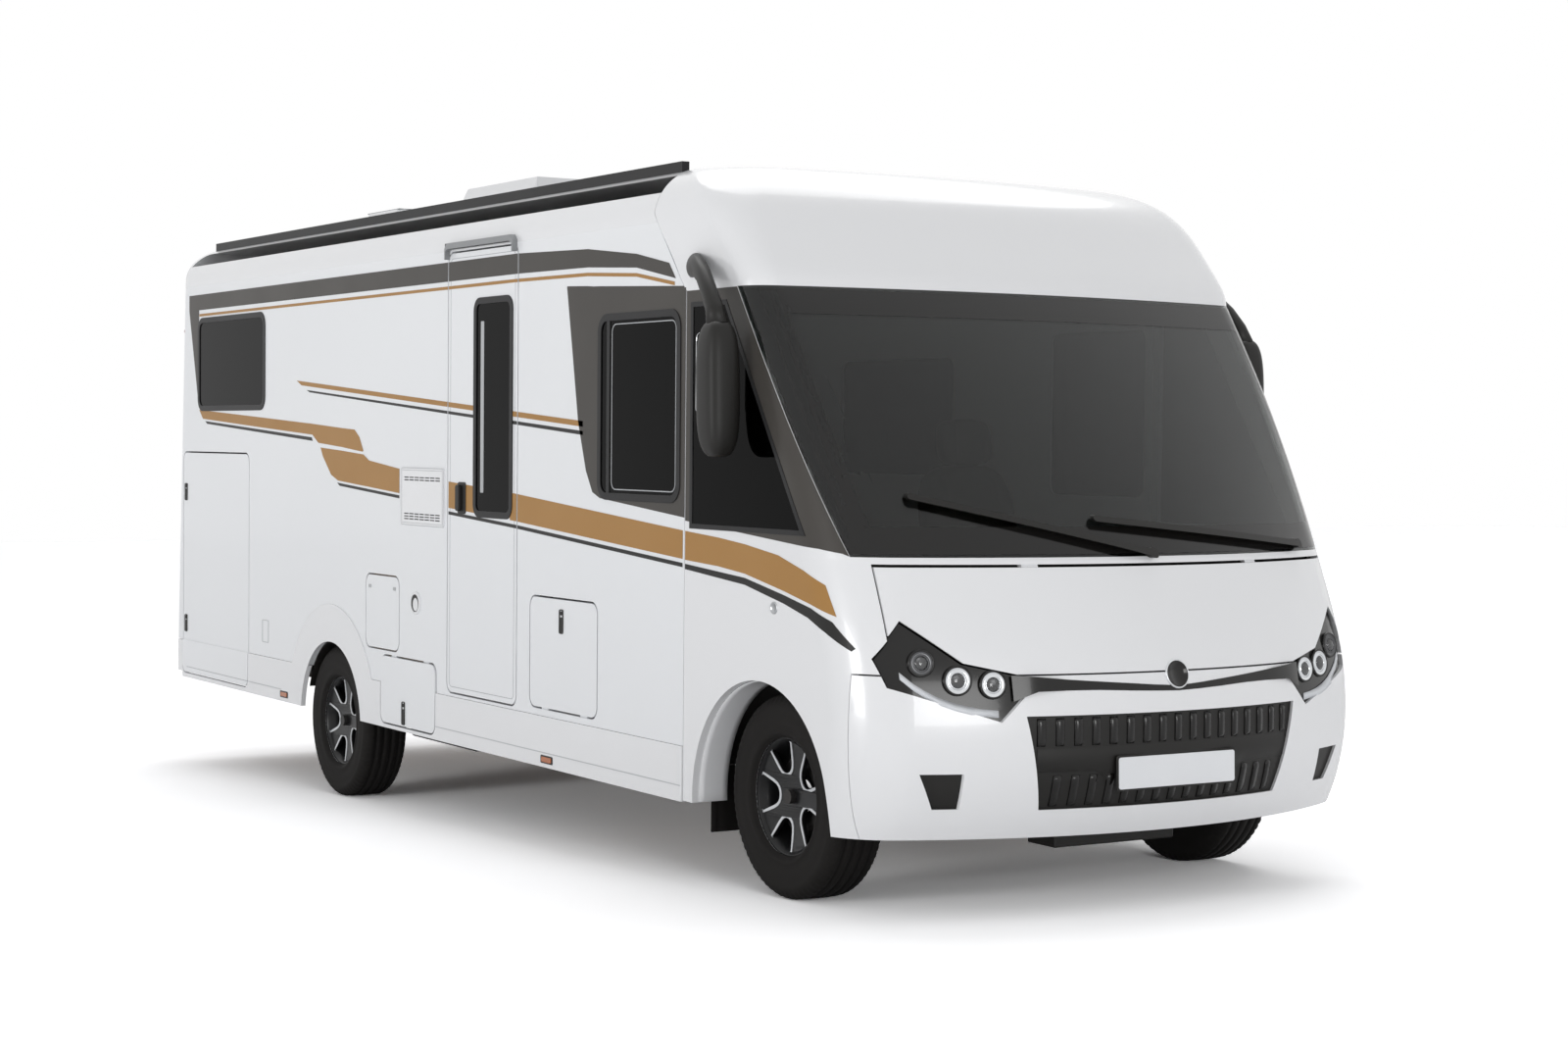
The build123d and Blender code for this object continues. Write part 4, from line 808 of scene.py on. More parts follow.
@dataclass(frozen=True)
class Wheel:
    """A tyre and an alloy wheel with five open windows, in place of their plain solids.

    Profiles are pairs of a radius and a height outward from the wheel's middle plane, in millimetres.
    """

    end: str
    side: Side
    tread_r: float = 371.5
    groove_deep: float = 7.5
    notches: int = 72
    face_r: float = 209.0
    spokes: int = 5
    bolt_circle_r: float = 58.0
    # The face's height at its rim, its dish and the radius over which it is dished, and the hub's recess and radius
    RIM_OUT, DISH, DISH_R, RECESS, RECESS_R = 74.0, 16.0, 200, 10.0, 70
    # Bead's section: growth from the window's outline and height over the face
    BEAD = ((1.0, 0.2), (1.0, 3.0), (12.5, 3.0), (12.5, 0.2))
    # Middle and width of each groove of the tread
    GROOVES = ((-58, 10), (-20, 11), (20, 11), (58, 10))
    # Half of a window's outline: radius, and distance from its middle line
    WINDOW = ((88, 0), (90, 13), (96, 25), (108, 35), (126, 43), (150, 52), (172, 61), (184, 66), (190, 60), (195, 44),
              (198, 22), (199, 0))
    WINDOW_MIDDLE_R = 150.0

    @property
    def tag(self) -> str:
        """Ending of the names of this corner's nodes and body."""
        return f"{self.end}_{self.side.tag}"

    @property
    def body(self) -> str:
        """The body that this wheel's pieces ride on."""
        return f"wheel_{self.tag}"

    def centre(self) -> Vector:
        """Middle of the tyre, in metres."""
        return node_centre(f"tyre_{self.tag}")

    def outward(self) -> Vector:
        """Direction of the wheel's outer face."""
        return Vector((0, self.side.value, 0))

    def build(self) -> None:
        """Make every piece of the wheel."""
        self.tyre()
        rim = self.turned("wheel_barrel", WHEEL_BLACK, (
            (222, -92), (226, -96), (227, -90), (206, -80), (200, -60), (186, -45), (184, 10), (196, 40), (203, 62),
            (207, 80), (216, 87), (214, 84), (200, 78), (192, 40), (178, 8), (178, -42), (192, -60), (198, -82),
            (222, -92)), 72)
        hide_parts(f"rim_{self.tag}")
        self.turned("wheel_flange", TURNED_ALLOY, (
            (213, 84), (217, 88.5), (223, 89), (226.5, 86), (227, 82), (222, 82), (214, 81), (213, 84)), 96)
        self.face()
        self.turned("wheel_ring", TURNED_ALLOY, (
            (204, 73), (205, 77.5), (212, 80), (215, 82), (212, 78), (204, 73)), 96)
        self.bolts()
        self.turned("brake_disc", CASTING, (
            (60, -8), (60, 12), (90, 14), (92, 20), (150, 20), (151, 8), (92, 8), (60, -8)), 64)

    def turned(self, name: str, finish: Finish, profile: Outline, turns: int) -> bpy.types.Object:
        """Make a piece turned about the wheel's axis from a profile."""
        return Form().lathe(self.centre(), self.outward(), profile, turns).make(
            f"{name}_{self.tag}", finish, self.body)

    def tyre(self) -> None:
        """Make the tyre, with four grooves round it and shoulders cut by notches."""
        r = self.tread_r
        # Radius, height and depth of the notches
        side_wall = [(214, -88, 0), (224, -100, 0), (229, -106, 0), (240, -109, 0), (243, -107.5, 0), (268, -111, 0),
                     (300, -112, 0), (322, -110, 0), (326, -111, 0), (340, -107, 0), (352, -102, 6), (361, -95, 6),
                     (367, -86, 5), (r - 2, -78, 4)]
        profile = list(side_wall)
        for mid, width in self.GROOVES:
            crown, half = r - 2.5 * (mid / 80) ** 2, width / 2
            profile += [(crown, mid - half - 0.5, 0), (crown - self.groove_deep, mid - half + 1.5, 0),
                        (crown - self.groove_deep, mid + half - 1.5, 0), (crown, mid + half + 0.5, 0)]
        profile += [(radius, -height, notch) for radius, height, notch in reversed(side_wall)]
        axis = self.outward()
        ahead = axis.cross(UP)
        rings = [[self.centre() + axis * height / 1000 + (UP * c + ahead * s) * (radius - notch * (k % 3 == 0)) / 1000
                  for k, (c, s) in enumerate(around(3 * self.notches))] for radius, height, notch in profile]
        tyre = Form().loops(rings).make(f"tyre_tread_{self.tag}", RUBBER, self.body)
        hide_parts(f"tyre_{self.tag}")

    def window(self, grow: float, turn: float) -> list[Point]:
        """Outline of one U-shaped window, grown by some millimetres and turned by an angle in degrees."""
        a = math.radians(turn)
        points = []
        for r, t in [*self.WINDOW, *((r, -t) for r, t in reversed(self.WINDOW[1:-1]))]:
            length = max(math.hypot(r - self.WINDOW_MIDDLE_R, t), 1.0)
            r, t = r + grow * (r - self.WINDOW_MIDDLE_R) / length, t + grow * t / length
            points.append((r * math.cos(a) - t * math.sin(a), r * math.sin(a) + t * math.cos(a)))
        return points

    def at(self, a: float, b: float, w: float) -> Vector:
        """Place of a point of the wheel's face: two millimetres across it and one outward from its dished plane."""
        r = math.hypot(a, b)
        out = self.RIM_OUT - self.DISH * (1 - min(r / self.DISH_R, 1.0) ** 2) - (
            self.RECESS if r < self.RECESS_R else 0.0)
        return self.centre() + Vector((a, self.side.value * (out + w), b)) / 1000

    def face(self) -> None:
        """Make the spoked face and the bright beads round its windows."""
        turns = [180 + 360 * k / self.spokes for k in range(self.spokes)]
        Form().slab([disc(0, 0, self.face_r, 96)] + [self.window(0, t) for t in turns], -16, 0, 2.0,
                    lambda v: self.at(*v)).make(f"wheel_face_{self.tag}", WHEEL_BLACK, self.body, smooth=False)
        bead = Form()
        for t in turns:
            bead.loops([[self.at(a, b, lift) for a, b in self.window(grow, t)] for grow, lift in self.BEAD])
        bead.make(f"wheel_beads_{self.tag}", TURNED_ALLOY, self.body, smooth=False)

    def bolts(self) -> None:
        """Make the bolts and the hub cap."""
        form = Form()
        for a, b in disc(0, 0, self.bolt_circle_r, self.spokes):
            form.lathe(self.at(a, b, 0), self.outward(),
                       [(10.5, -4), (10.5, 6), (9, 9), (5, 10), (4.5, 7), (0, 7)], turns=6)
        form.make(f"wheel_bolts_{self.tag}", TURNED_ALLOY, self.body, smooth=False)
        Form().lathe(self.at(0, 0, 0), self.outward(), [
            (31, -6), (31, 6), (29, 9), (24, 10.5), (22, 9.5), (0, 10.5)]).make(
            f"wheel_cap_{self.tag}", GLOSS_BLACK, self.body)


# ---------------------------------------------------------------- front face
class Front:
    """Lamps, grille slats, nose disc, blank plate and strips of the front, in body-frame y and z."""

    # y, z and radius of each lamp, outermost first
    LAMPS = ((926.0, 910.0, 44.0), (818.0, 852.0, 48.0), (704.0, 838.0, 46.0))
    LAMP_TILT = 1.6
    DAY_STRIP = ((994, 868), (956, 830), (920, 805), (882, 784), (835, 766), (788, 753), (740, 744), (690, 739))
    DAY_STRIP_HALF = 12
    # Furthest y, low z and high z of each row of slats
    SLAT_ROWS = ((570, 626, 722), (530, 416, 524))
    SLAT_PITCH, SLAT_WIDTH, SLAT_PROUD, SLAT_STEPS, SLATS_EACH_WAY = 68.0, 34.0, 6.0, 8, 12
    # Sections of the smooth band, and the field under it for the plate: its half width, the run of its slanting
    # ends and its depth
    BAND_PITCH, BAND_EACH_WAY = 19.2, 29
    FIELD_HALF, FIELD_RUN, FIELD_DEEP = 330, 60, 50
    DISC_Z, DISC_SINK, DISC_FACING_Z = 858, -2.2, 880
    PLATE_Z, PLATE_DROP = 524.0, 26.0
    # How far forward the plate may stand, in metres
    PLATE_LIMIT = 3.6965
    # y, upper z and lower z along the strips, and how far they stand off the bonnet and off the lamps beyond a y
    NOSE_STRIP = ((640, 866, 780), (560, 861, 812), (450, 852, 815), (334, 843, 814), (200, 833, 808),
                  (100, 825, 804), (0, 819, 801))
    STRIP_LIFT, LAMP_LIFT, LAMP_FROM_Y = 1.5, 15.5, 555
    SCREEN_Z = (1272, 2203)
    SCREEN_ROWS, SCREEN_COLUMNS, SCREEN_LIFT = 40, 80, 0.6
    # Printed rows at the foot and at the top, and printed columns at each side
    PRINT_LOW, PRINT_HIGH, PRINT_SIDE = 4, 4, 3

    def __init__(self) -> None:
        """Take the skins that the front's pieces lie on."""
        self.face = Skin("front_bumper", "grille", "bonnet", "cab_shell", "headlights")
        self.screen = Skin("windscreen")

    def build(self) -> None:
        """Make every piece of the front."""
        self.lamps()
        self.grille()
        self.nose_disc()
        self.plate()
        self.nose_strips()
        self.screen_border()

    def lamps(self) -> None:
        """Make the projector and reflector lamps and the pale day-lamp strips under them."""
        rings, bright, dim, lenses, strip = (Form() for _ in range(5))
        for side in Side:
            for n, (y, z, r) in enumerate(self.LAMPS):
                place = self.face.from_front(side.value * y, z, 0)
                if place is None:
                    continue
                axis = (AHEAD + self.face.normal_front(side.value * y, z) * self.LAMP_TILT).normalized()
                foot = place + axis * 0.002
                rings.lathe(foot, axis, [(r + 4, -20), (r + 4, 8), (r + 1, 11), (r - 3, 10), (r - 5, 4), (r - 5, -20)])
                bowl = dim if n == 0 else bright
                bowl.lathe(foot, axis, [(r - 4, 9), (r * 0.8, 6.5), (r * 0.66, 5.6), (r * 0.62, 9.5), (r * 0.56, 10),
                                        (r * 0.52, 6)])
                lenses.lathe(foot, axis, [(r * 0.52, 6), (r * 0.48, 10), (r * 0.34, 13), (r * 0.17, 14.5), (0, 15)])
            edges = [[self.face.from_front(side.value * y, z + rise, 4) for y, z in self.DAY_STRIP]
                     for rise in (-self.DAY_STRIP_HALF, self.DAY_STRIP_HALF)]
            self.ribbon(strip, *edges)
        rings.make("lamp_bezels", GLOSS_BLACK)
        bright.make("lamp_bowls", REFLECTOR)
        dim.make("outer_lamp_bowls", DARKER_REFLECTOR)
        lenses.make("lamp_lenses", LENS)
        strip.make("day_lamp_strips", LIGHT_GUIDE, thick_mm=4.0)

    @staticmethod
    def ribbon(form: Form, low: Sequence[Optional[Vector]], high: Sequence[Optional[Vector]]) -> None:
        """Add a sheet between two edges, without the pairs of which one is missing."""
        pairs = [(a, b) for a, b in zip(low, high) if a is not None and b is not None]
        form.loops([[a for a, _ in pairs], [b for _, b in pairs]], closed=False)

    def column(self, form: Form, y: float, z0: float, z1: float) -> None:
        """Add one upright slat over the grille at some y, between two heights, sunk at its ends."""
        rows = []
        for k in range(self.SLAT_STEPS + 1):
            z, half = z0 + (z1 - z0) * k / self.SLAT_STEPS, self.SLAT_WIDTH / 2
            proud = self.SLAT_PROUD * (0.4 if k in (0, self.SLAT_STEPS) else 1)
            row = [self.face.from_front(y + d, z, lift) for d, lift in
                   ((-half, -1), (-half * 0.7, proud), (half * 0.7, proud), (half, -1))]
            if None not in row:
                rows.append(row)
        if len(rows) > 2:
            form.loops(rows, caps=True)

    def grille(self) -> None:
        """Make the slats over and under the smooth band that carries the plate."""
        slats = Form()
        for k in range(-self.SLATS_EACH_WAY, self.SLATS_EACH_WAY + 1):
            for reach, z0, z1 in self.SLAT_ROWS:
                if abs(k * self.SLAT_PITCH) < reach:
                    self.column(slats, k * self.SLAT_PITCH, z0, z1)
        slats.make("grille_slats", GLOSS_BLACK)
        rows = []
        for k in range(-self.BAND_EACH_WAY, self.BAND_EACH_WAY + 1):
            y = k * self.BAND_PITCH
            drop = self.FIELD_DEEP * min(max((self.FIELD_HALF - abs(y)) / self.FIELD_RUN, 0), 1)
            points = [self.face.from_front(y, z, lift) for z, lift in
                      ((534 - drop, -1), (540 - drop, 3), (578, 4), (616, 3), (622, -1))]
            if None not in points:
                rows.append(points)
        Form().loops(rows, closed=False).make("grille_band", ABS_BLACK)

    def nose_disc(self) -> None:
        """Make the plain disc on the bonnet's nose, and its bright rim."""
        place = self.face.from_front(0, self.DISC_Z, self.DISC_SINK)
        axis = self.face.normal_front(0, self.DISC_FACING_Z)
        for name, finish, profile in (
                ("nose_disc", GLOSS_BLACK, ((50, -2), (50, 3), (47, 6), (43, 7), (42, 5), (0, 6))),
                ("nose_disc_rim", TURNED_ALLOY, ((51, -2), (52, 4), (49, 7.5), (46.5, 7), (46, 3)))):
            Form().lathe(place, axis, profile).make(name, finish, "bonnet")

    def plate(self) -> None:
        """Make the blank number plate in its holder, clear of what lies behind it."""
        hits = [self.face.from_front(y, self.PLATE_Z - self.PLATE_DROP + z, 4)
                for y in (-250, -125, 0, 125, 250) for z in (-62, -30, 0, 30, 48)]
        front = min(max(p.x for p in hits if p is not None) + 0.006, self.PLATE_LIMIT)
        height = STANCE.at(0, 0, self.PLATE_Z).z
        for name, half, tall, x, finish in (("number_plate_holder", 268, 62, front - 0.003, ABS_BLACK),
                                            ("number_plate_blank", 260, 55, front, PLATE)):
            Form().slab([rounded_box((-half, half, -tall, tall), 0, 9)], -6, 0, 1.0,
                        lambda v: Vector((x + v.z / 1000, v.x / 1000, height - self.PLATE_DROP / 1000 + v.y / 1000))
                        ).make(name, finish, smooth=False)

    def nose_strips(self) -> None:
        """Make the black strips that run from the lamps to the nose disc."""
        strip = Form()
        for side in Side:
            edges = [[self.face.from_front(side.value * row[0], row[n],
                                           self.LAMP_LIFT if row[0] > self.LAMP_FROM_Y else self.STRIP_LIFT)
                      for row in self.NOSE_STRIP] for n in (2, 1)]
            self.ribbon(strip, *edges)
        strip.make("nose_strips", GLOSS_BLACK)

    def screen_border(self) -> None:
        """Make the black printed border round the windscreen."""
        low, high = self.SCREEN_Z
        rows = []
        for k in range(self.SCREEN_ROWS + 1):
            z, edge = low + (high - low) * k / self.SCREEN_ROWS, HALF_W - 1
            while edge > 800 and self.screen.from_front(edge, z, 0) is None:
                edge -= 3
            rows.append([self.screen.from_front((edge - 3) * (-1 + 2 * c / self.SCREEN_COLUMNS), z, self.SCREEN_LIFT)
                         for c in range(self.SCREEN_COLUMNS + 1)])
        Form().grid(rows, lambda r, c: (not self.PRINT_SIDE <= c < self.SCREEN_COLUMNS - self.PRINT_SIDE
                                        or not self.PRINT_LOW <= r < self.SCREEN_ROWS - self.PRINT_HIGH)
                    ).make("screen_border", GLOSS_BLACK)


# ---------------------------------------------------------------- mirrors
class Mirrors:
    """Two tall mirror heads hung from swept arms on the front cap."""

    HEAD_X, HEAD_Y, HEAD_Z = (-170.0, -20.0), (1171.0, 1305.0), (1595.0, 2085.0)
    # x, y, z, half height and half depth of the arm's sections from the cap to the head
    ARM = ((-476, 1120, 2302, 46, 30), (-426, 1150, 2304, 44, 30), (-346, 1180, 2290, 38, 28),
           (-256, 1208, 2252, 34, 28), (-185, 1226, 2192, 33, 29), (-130, 1234, 2127, 36, 33),
           (-100, 1237, 2060, 46, 42))
    GLASS_EDGE, GLASS_X = 16.0, -163.0

    def build(self) -> None:
        """Make both mirrors and their glasses."""
        heads, glasses = Form(), Form()
        for side in Side:
            self.head(heads, side)
            self.glass(glasses, side)
        shown = heads.make("mirror_heads", ABS_BLACK)
        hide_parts("mirrors")
        glasses.make("mirror_glasses", SILVERED, smooth=False)

    def head(self, form: Form, side: Side) -> None:
        """Add one head with its arm."""
        (x0, x1), (y0, y1), (z0, z1) = self.HEAD_X, side.span(*self.HEAD_Y), self.HEAD_Z
        form.egg(STANCE.at((x0 + x1) / 2, (y0 + y1) / 2, (z0 + z1) / 2),
                 Vector((x1 - x0, y1 - y0, z1 - z0)) / 2000, power=3.4, rows=28)
        rings = []
        for k, (x, y, z, tall, deep) in enumerate(self.ARM):
            place, ahead, behind = (STANCE.at(a, side.value * b, c) for a, b, c, _, _ in (
                self.ARM[k], self.ARM[min(k + 1, len(self.ARM) - 1)], self.ARM[max(k - 1, 0)]))
            along = (ahead - behind).normalized()
            across = along.cross(Vector((0, side.value, 0.2))).normalized()
            out = along.cross(across).normalized()
            rings.append([place + (across * c * tall + out * s * deep) / 1000 for c, s in around(20)])
        form.loops(rings, caps=True)

    def glass(self, form: Form, side: Side) -> None:
        """Add one flat glass, which looks to the rear."""
        (y0, y1), (z0, z1) = self.HEAD_Y, self.HEAD_Z
        form.slab([rounded_box((y0 + self.GLASS_EDGE, y1 - self.GLASS_EDGE, z0 + 150, z1 - 40), 0, 26)], 0, 4, 1,
                  lambda v: STANCE.at(self.GLASS_X - v.z, side.value * v.x, v.y))


# ---------------------------------------------------------------- fittings of the walls
class Fittings:
    """Locks, handles, markers, vents, and grey lines of painted shade in grooves and gaps, on the walls and doors, in
    body-frame x and z.
    """

    GARAGE_LOCKS = ((-6205.0, 1340.0), (-6205.0, 604.0))
    # Name, body, side, places, half width, half height and height off the wall
    LATCHES = (
        ("garage_latches_right", "garage_door_right", Side.RIGHT, GARAGE_LOCKS, 20.0, 48.0, 0.0),
        ("garage_latches_left", "garage_door_left", Side.LEFT, GARAGE_LOCKS, 20.0, 48.0, 0.0),
        ("locker_latch", "locker_door", Side.RIGHT, ((-1528.0, 911.0),), 17.0, 50.0, 0.0),
        ("hatch_latch", "lower_hatch", Side.RIGHT, ((-3126.0, 385.0),), 17.0, 54.0, SKIRT_OUT),
    )
    HANDLE_BASE, HANDLE_GRIP = (-2548, -2462, 1322, 1462), (-2540, -2500, 1335, 1450)
    DOOR_GROOVE, BLIND_RAIL = (-2655, -1953, 530, 2468), (-2316, -2284, 1420, 2160)
    MARKERS = ((-4659.0, 337.0), (-1645.0, 333.0))
    VENT: Box = (-3162.0, -2690.0, 1255.0, 1518.0)
    LOUVRE_X, LOUVRE_Z = tuple(-3122.0 + k * 58 for k in range(7)), (1284.0, 1296.0, 1308.0, 1462.0, 1474.0)
    LOUVRE_LONG, LOUVRE_HALF = 48, 2.6
    # Height of the service fittings' seat over the wall
    SEAT_OUT = 7.0
    CATCH_X, CATCH_HALF, CATCH_Z = (-3540.0, -3250.0), 14, (944, 960)
    # Middle and radius of the crescent's outer and inner circles
    CRESCENT = ((-2997, 901, 40), (-2991, 895, 30))
    CAB_CAP = (136, 1067)
    # Ends and top of the drip rail, and how far its ends are turned down
    GUTTER, GUTTER_DROP = (-2652.0, -1960.0, 2512.0), 70
    # Stretches and height of the skirts' groove, whose grey line is painted shade
    SKIRT_GROOVES, GROOVE_Z = ((-6180.0, -4700.0), (-2770.0, -520.0)), (358, 362)
    WHEEL_COVER: Box = (-4990, -4900, 583, 700)

    def build(self) -> None:
        """Make every fitting."""
        for name, body, side, places, half, tall, out in self.LATCHES:
            form = Form()
            for x, z in places:
                self.latch(form, side, (x, z), half, tall, out)
            form.make(name, ABS_BLACK, body, smooth=False)
        self.door()
        self.markers()
        self.vent()
        self.service()
        self.cab_cap()
        self.gutter()
        self.joint_lines()

    @staticmethod
    def latch(form: Form, side: Side, place: Point, half: float, tall: float, out: float) -> None:
        """Add a push latch: a bezel, a sunk paddle and a lock barrel."""
        x, z = place
        form.plate(hoop((x - half, x + half, z - tall, z + tall), 0, -4, 9), side, out - 2, out + 5)
        form.plate([rounded_box((x - half + 3, x + half - 3, z - tall + 3, z + tall * 0.35), 0, 6)], side, out - 2,
                   out + 3)
        form.plate([disc(x, z + tall * 0.68, half * 0.5, 24)], side, out - 2, out + 4, 1.0)

    def door(self) -> None:
        """Make the entry door's handle, the painted shade of the groove round its leaf, and the blind rail in its
        pane.
        """
        Form().plate([rounded_box(self.HANDLE_BASE, 0, 16)], Side.RIGHT, -2, 4).plate(
            [rounded_box(self.HANDLE_GRIP, 0, 12)], Side.RIGHT, 2, 20, 4.0).make(
            "entry_handle", ABS_BLACK, "entry_door", smooth=False)
        # Grey line along the groove round the leaf: painted shade
        Form().plate(hoop(self.DOOR_GROOVE, -22, -25, 45), Side.RIGHT, -1, 0.8, 0.2).make(
            "entry_door_groove", SEAL_AND_GROOVE_SHADE_GREY, "entry_door", smooth=False)
        Form().plate([rounded_box(self.BLIND_RAIL, 0, 4)], Side.RIGHT, -3, 1.2, 0.3).make(
            "entry_blind_rail", ANODISED, "entry_door", smooth=False)

    def markers(self) -> None:
        """Make the amber side markers in the skirts."""
        for name, finish, half_x, half_z, radius, low, high in (
                ("marker_bases", ABS_BLACK, 56, 17, 8, -3, 1.5), ("marker_lenses", AMBER, 44, 11, 7, 0, 4)):
            form = Form()
            for side in Side:
                for x, z in self.MARKERS:
                    form.plate([rounded_box((x - half_x, x + half_x, z - half_z, z + half_z), 0, radius)], side,
                               SKIRT_OUT + low, SKIRT_OUT + high)
            form.make(name, finish, smooth=False)

    def vent(self) -> None:
        """Make the dark louvres of the refrigerator vent, and its rim."""
        form = Form()
        for z in self.LOUVRE_Z:
            for x in self.LOUVRE_X:
                form.plate([rounded_box((x, x + self.LOUVRE_LONG, z - self.LOUVRE_HALF, z + self.LOUVRE_HALF), 0, 2)],
                           Side.RIGHT, self.SEAT_OUT, self.SEAT_OUT + 1.6, 0.3)
        form.make("vent_louvres", ABS_BLACK, smooth=False)
        Form().plate(hoop(self.VENT, 0, -3, 15), Side.RIGHT, self.SEAT_OUT, self.SEAT_OUT + 1.5, 0.3).plate(
            hoop(self.VENT, -10, -12.5, 15), Side.RIGHT, self.SEAT_OUT, self.SEAT_OUT + 1.4, 0.3).make(
            "vent_rim", SEAL_AND_GROOVE_SHADE_GREY, smooth=False)

    def service(self) -> None:
        """Make the catches of the service flap and the crescent on the socket's cap."""
        form = Form()
        for x in self.CATCH_X:
            form.plate([rounded_box((x - self.CATCH_HALF, x + self.CATCH_HALF, *self.CATCH_Z), 0, 5)], Side.RIGHT,
                       -1, 3, 0.8)
        form.make("service_catches", ANODISED, "service_flap", smooth=False)
        rim, bite = self.CRESCENT
        Form().plate([disc(*rim, 40), disc(*bite, 32)], Side.RIGHT, self.SEAT_OUT, self.SEAT_OUT + 2, 0.5).make(
            "socket_crescent", ABS_BLACK, smooth=False)

    def cab_cap(self) -> None:
        """Make the small round cap on each side of the cab."""
        skin = Skin("cab_shell")
        for side in Side:
            place = skin.from_side(*self.CAB_CAP, side, 0)
            if place is not None:
                Form().lathe(place, Vector((0.1, side.value, 0)).normalized(), [
                    (22, -2), (22, 2.5), (20, 4), (15, 4.4), (14, 3), (0, 3.6)]).make(
                    f"fender_cap_{side.tag}", ANODISED)

    def gutter(self) -> None:
        """Make the pale drip rail over the entry door, with its turned-down ends."""
        (x0, x1, z), foot = self.GUTTER, self.GUTTER[2] - self.GUTTER_DROP
        outer = [(x0, foot), (x0, z - 22), (x0 + 24, z + 1), (x1 - 24, z + 1), (x1, z - 22), (x1, foot)]
        inner = [(x1 - 9, foot), (x1 - 9, z - 34), (x1 - 30, z - 26), (x0 + 30, z - 26), (x0 + 9, z - 34),
                 (x0 + 9, foot)]
        Form().plate([outer + inner], Side.RIGHT, -2, 26, 2.0).make("door_drip_rail", DRIP_GREY, smooth=False)

    def joint_lines(self) -> None:
        """Make grey lines of painted shade in the skirts' groove and in the gap round the cover ahead of the rear
        wheel.
        """
        form = Form()
        for side in Side:
            for low, high in self.SKIRT_GROOVES:
                form.plate([oblong(low, high, *self.GROOVE_Z)], side, SKIRT_OUT - 2, SKIRT_OUT + 0.6, 0.2)
            form.plate(hoop(self.WHEEL_COVER, 0, -3, 8), side, -1, 2.0, 0.3)
        form.make("skirt_grooves", SEAL_AND_GROOVE_SHADE_GREY, smooth=False)


# ---------------------------------------------------------------- arches and underside
class Arches:
    """White returns of the front wheel arches, the mud flaps behind the wheels and the tray under the nose."""

    CENTRE = (30.0, 330.0)
    RADIUS = 468.5
    STEPS = 40
    # Sections across a return, and y limits and rib height of the flap and its two ribs
    RETURN_Y = (1106, 1080, 1040, 1010, 985)
    FLAP, FLAP_X, FLAP_Z = ((800, 1030, 0), (815, 830, 5), (1000, 1015, 5)), (-482, -474), (182, 430)
    TRAY = ((560, 720), (-330, 210), (236, 300))

    def build(self) -> None:
        """Make the returns, the flaps and the tray."""
        returns, flaps = Form(), Form()
        for side in Side:
            angles = [math.radians(-3 + 186 * k / self.STEPS) for k in range(self.STEPS + 1)]
            returns.loops([[STANCE.at(self.CENTRE[0] + self.RADIUS * math.cos(a), side.value * y,
                                      self.CENTRE[1] + self.RADIUS * math.sin(a)) for y in self.RETURN_Y]
                           for a in angles], closed=False)
            for y0, y1, rib in self.FLAP:
                flaps.box((self.FLAP_X[0] - rib, self.FLAP_X[1]), (side.value * y0, side.value * y1), self.FLAP_Z)
        returns.make("arch_returns", GELCOAT, thick_mm=2.0)
        flaps.make("mud_flaps", RUBBER, smooth=False, round_mm=3.0)
        Form().box(*self.TRAY).make("nose_tray", ABS_BLACK, smooth=False, round_mm=6.0)


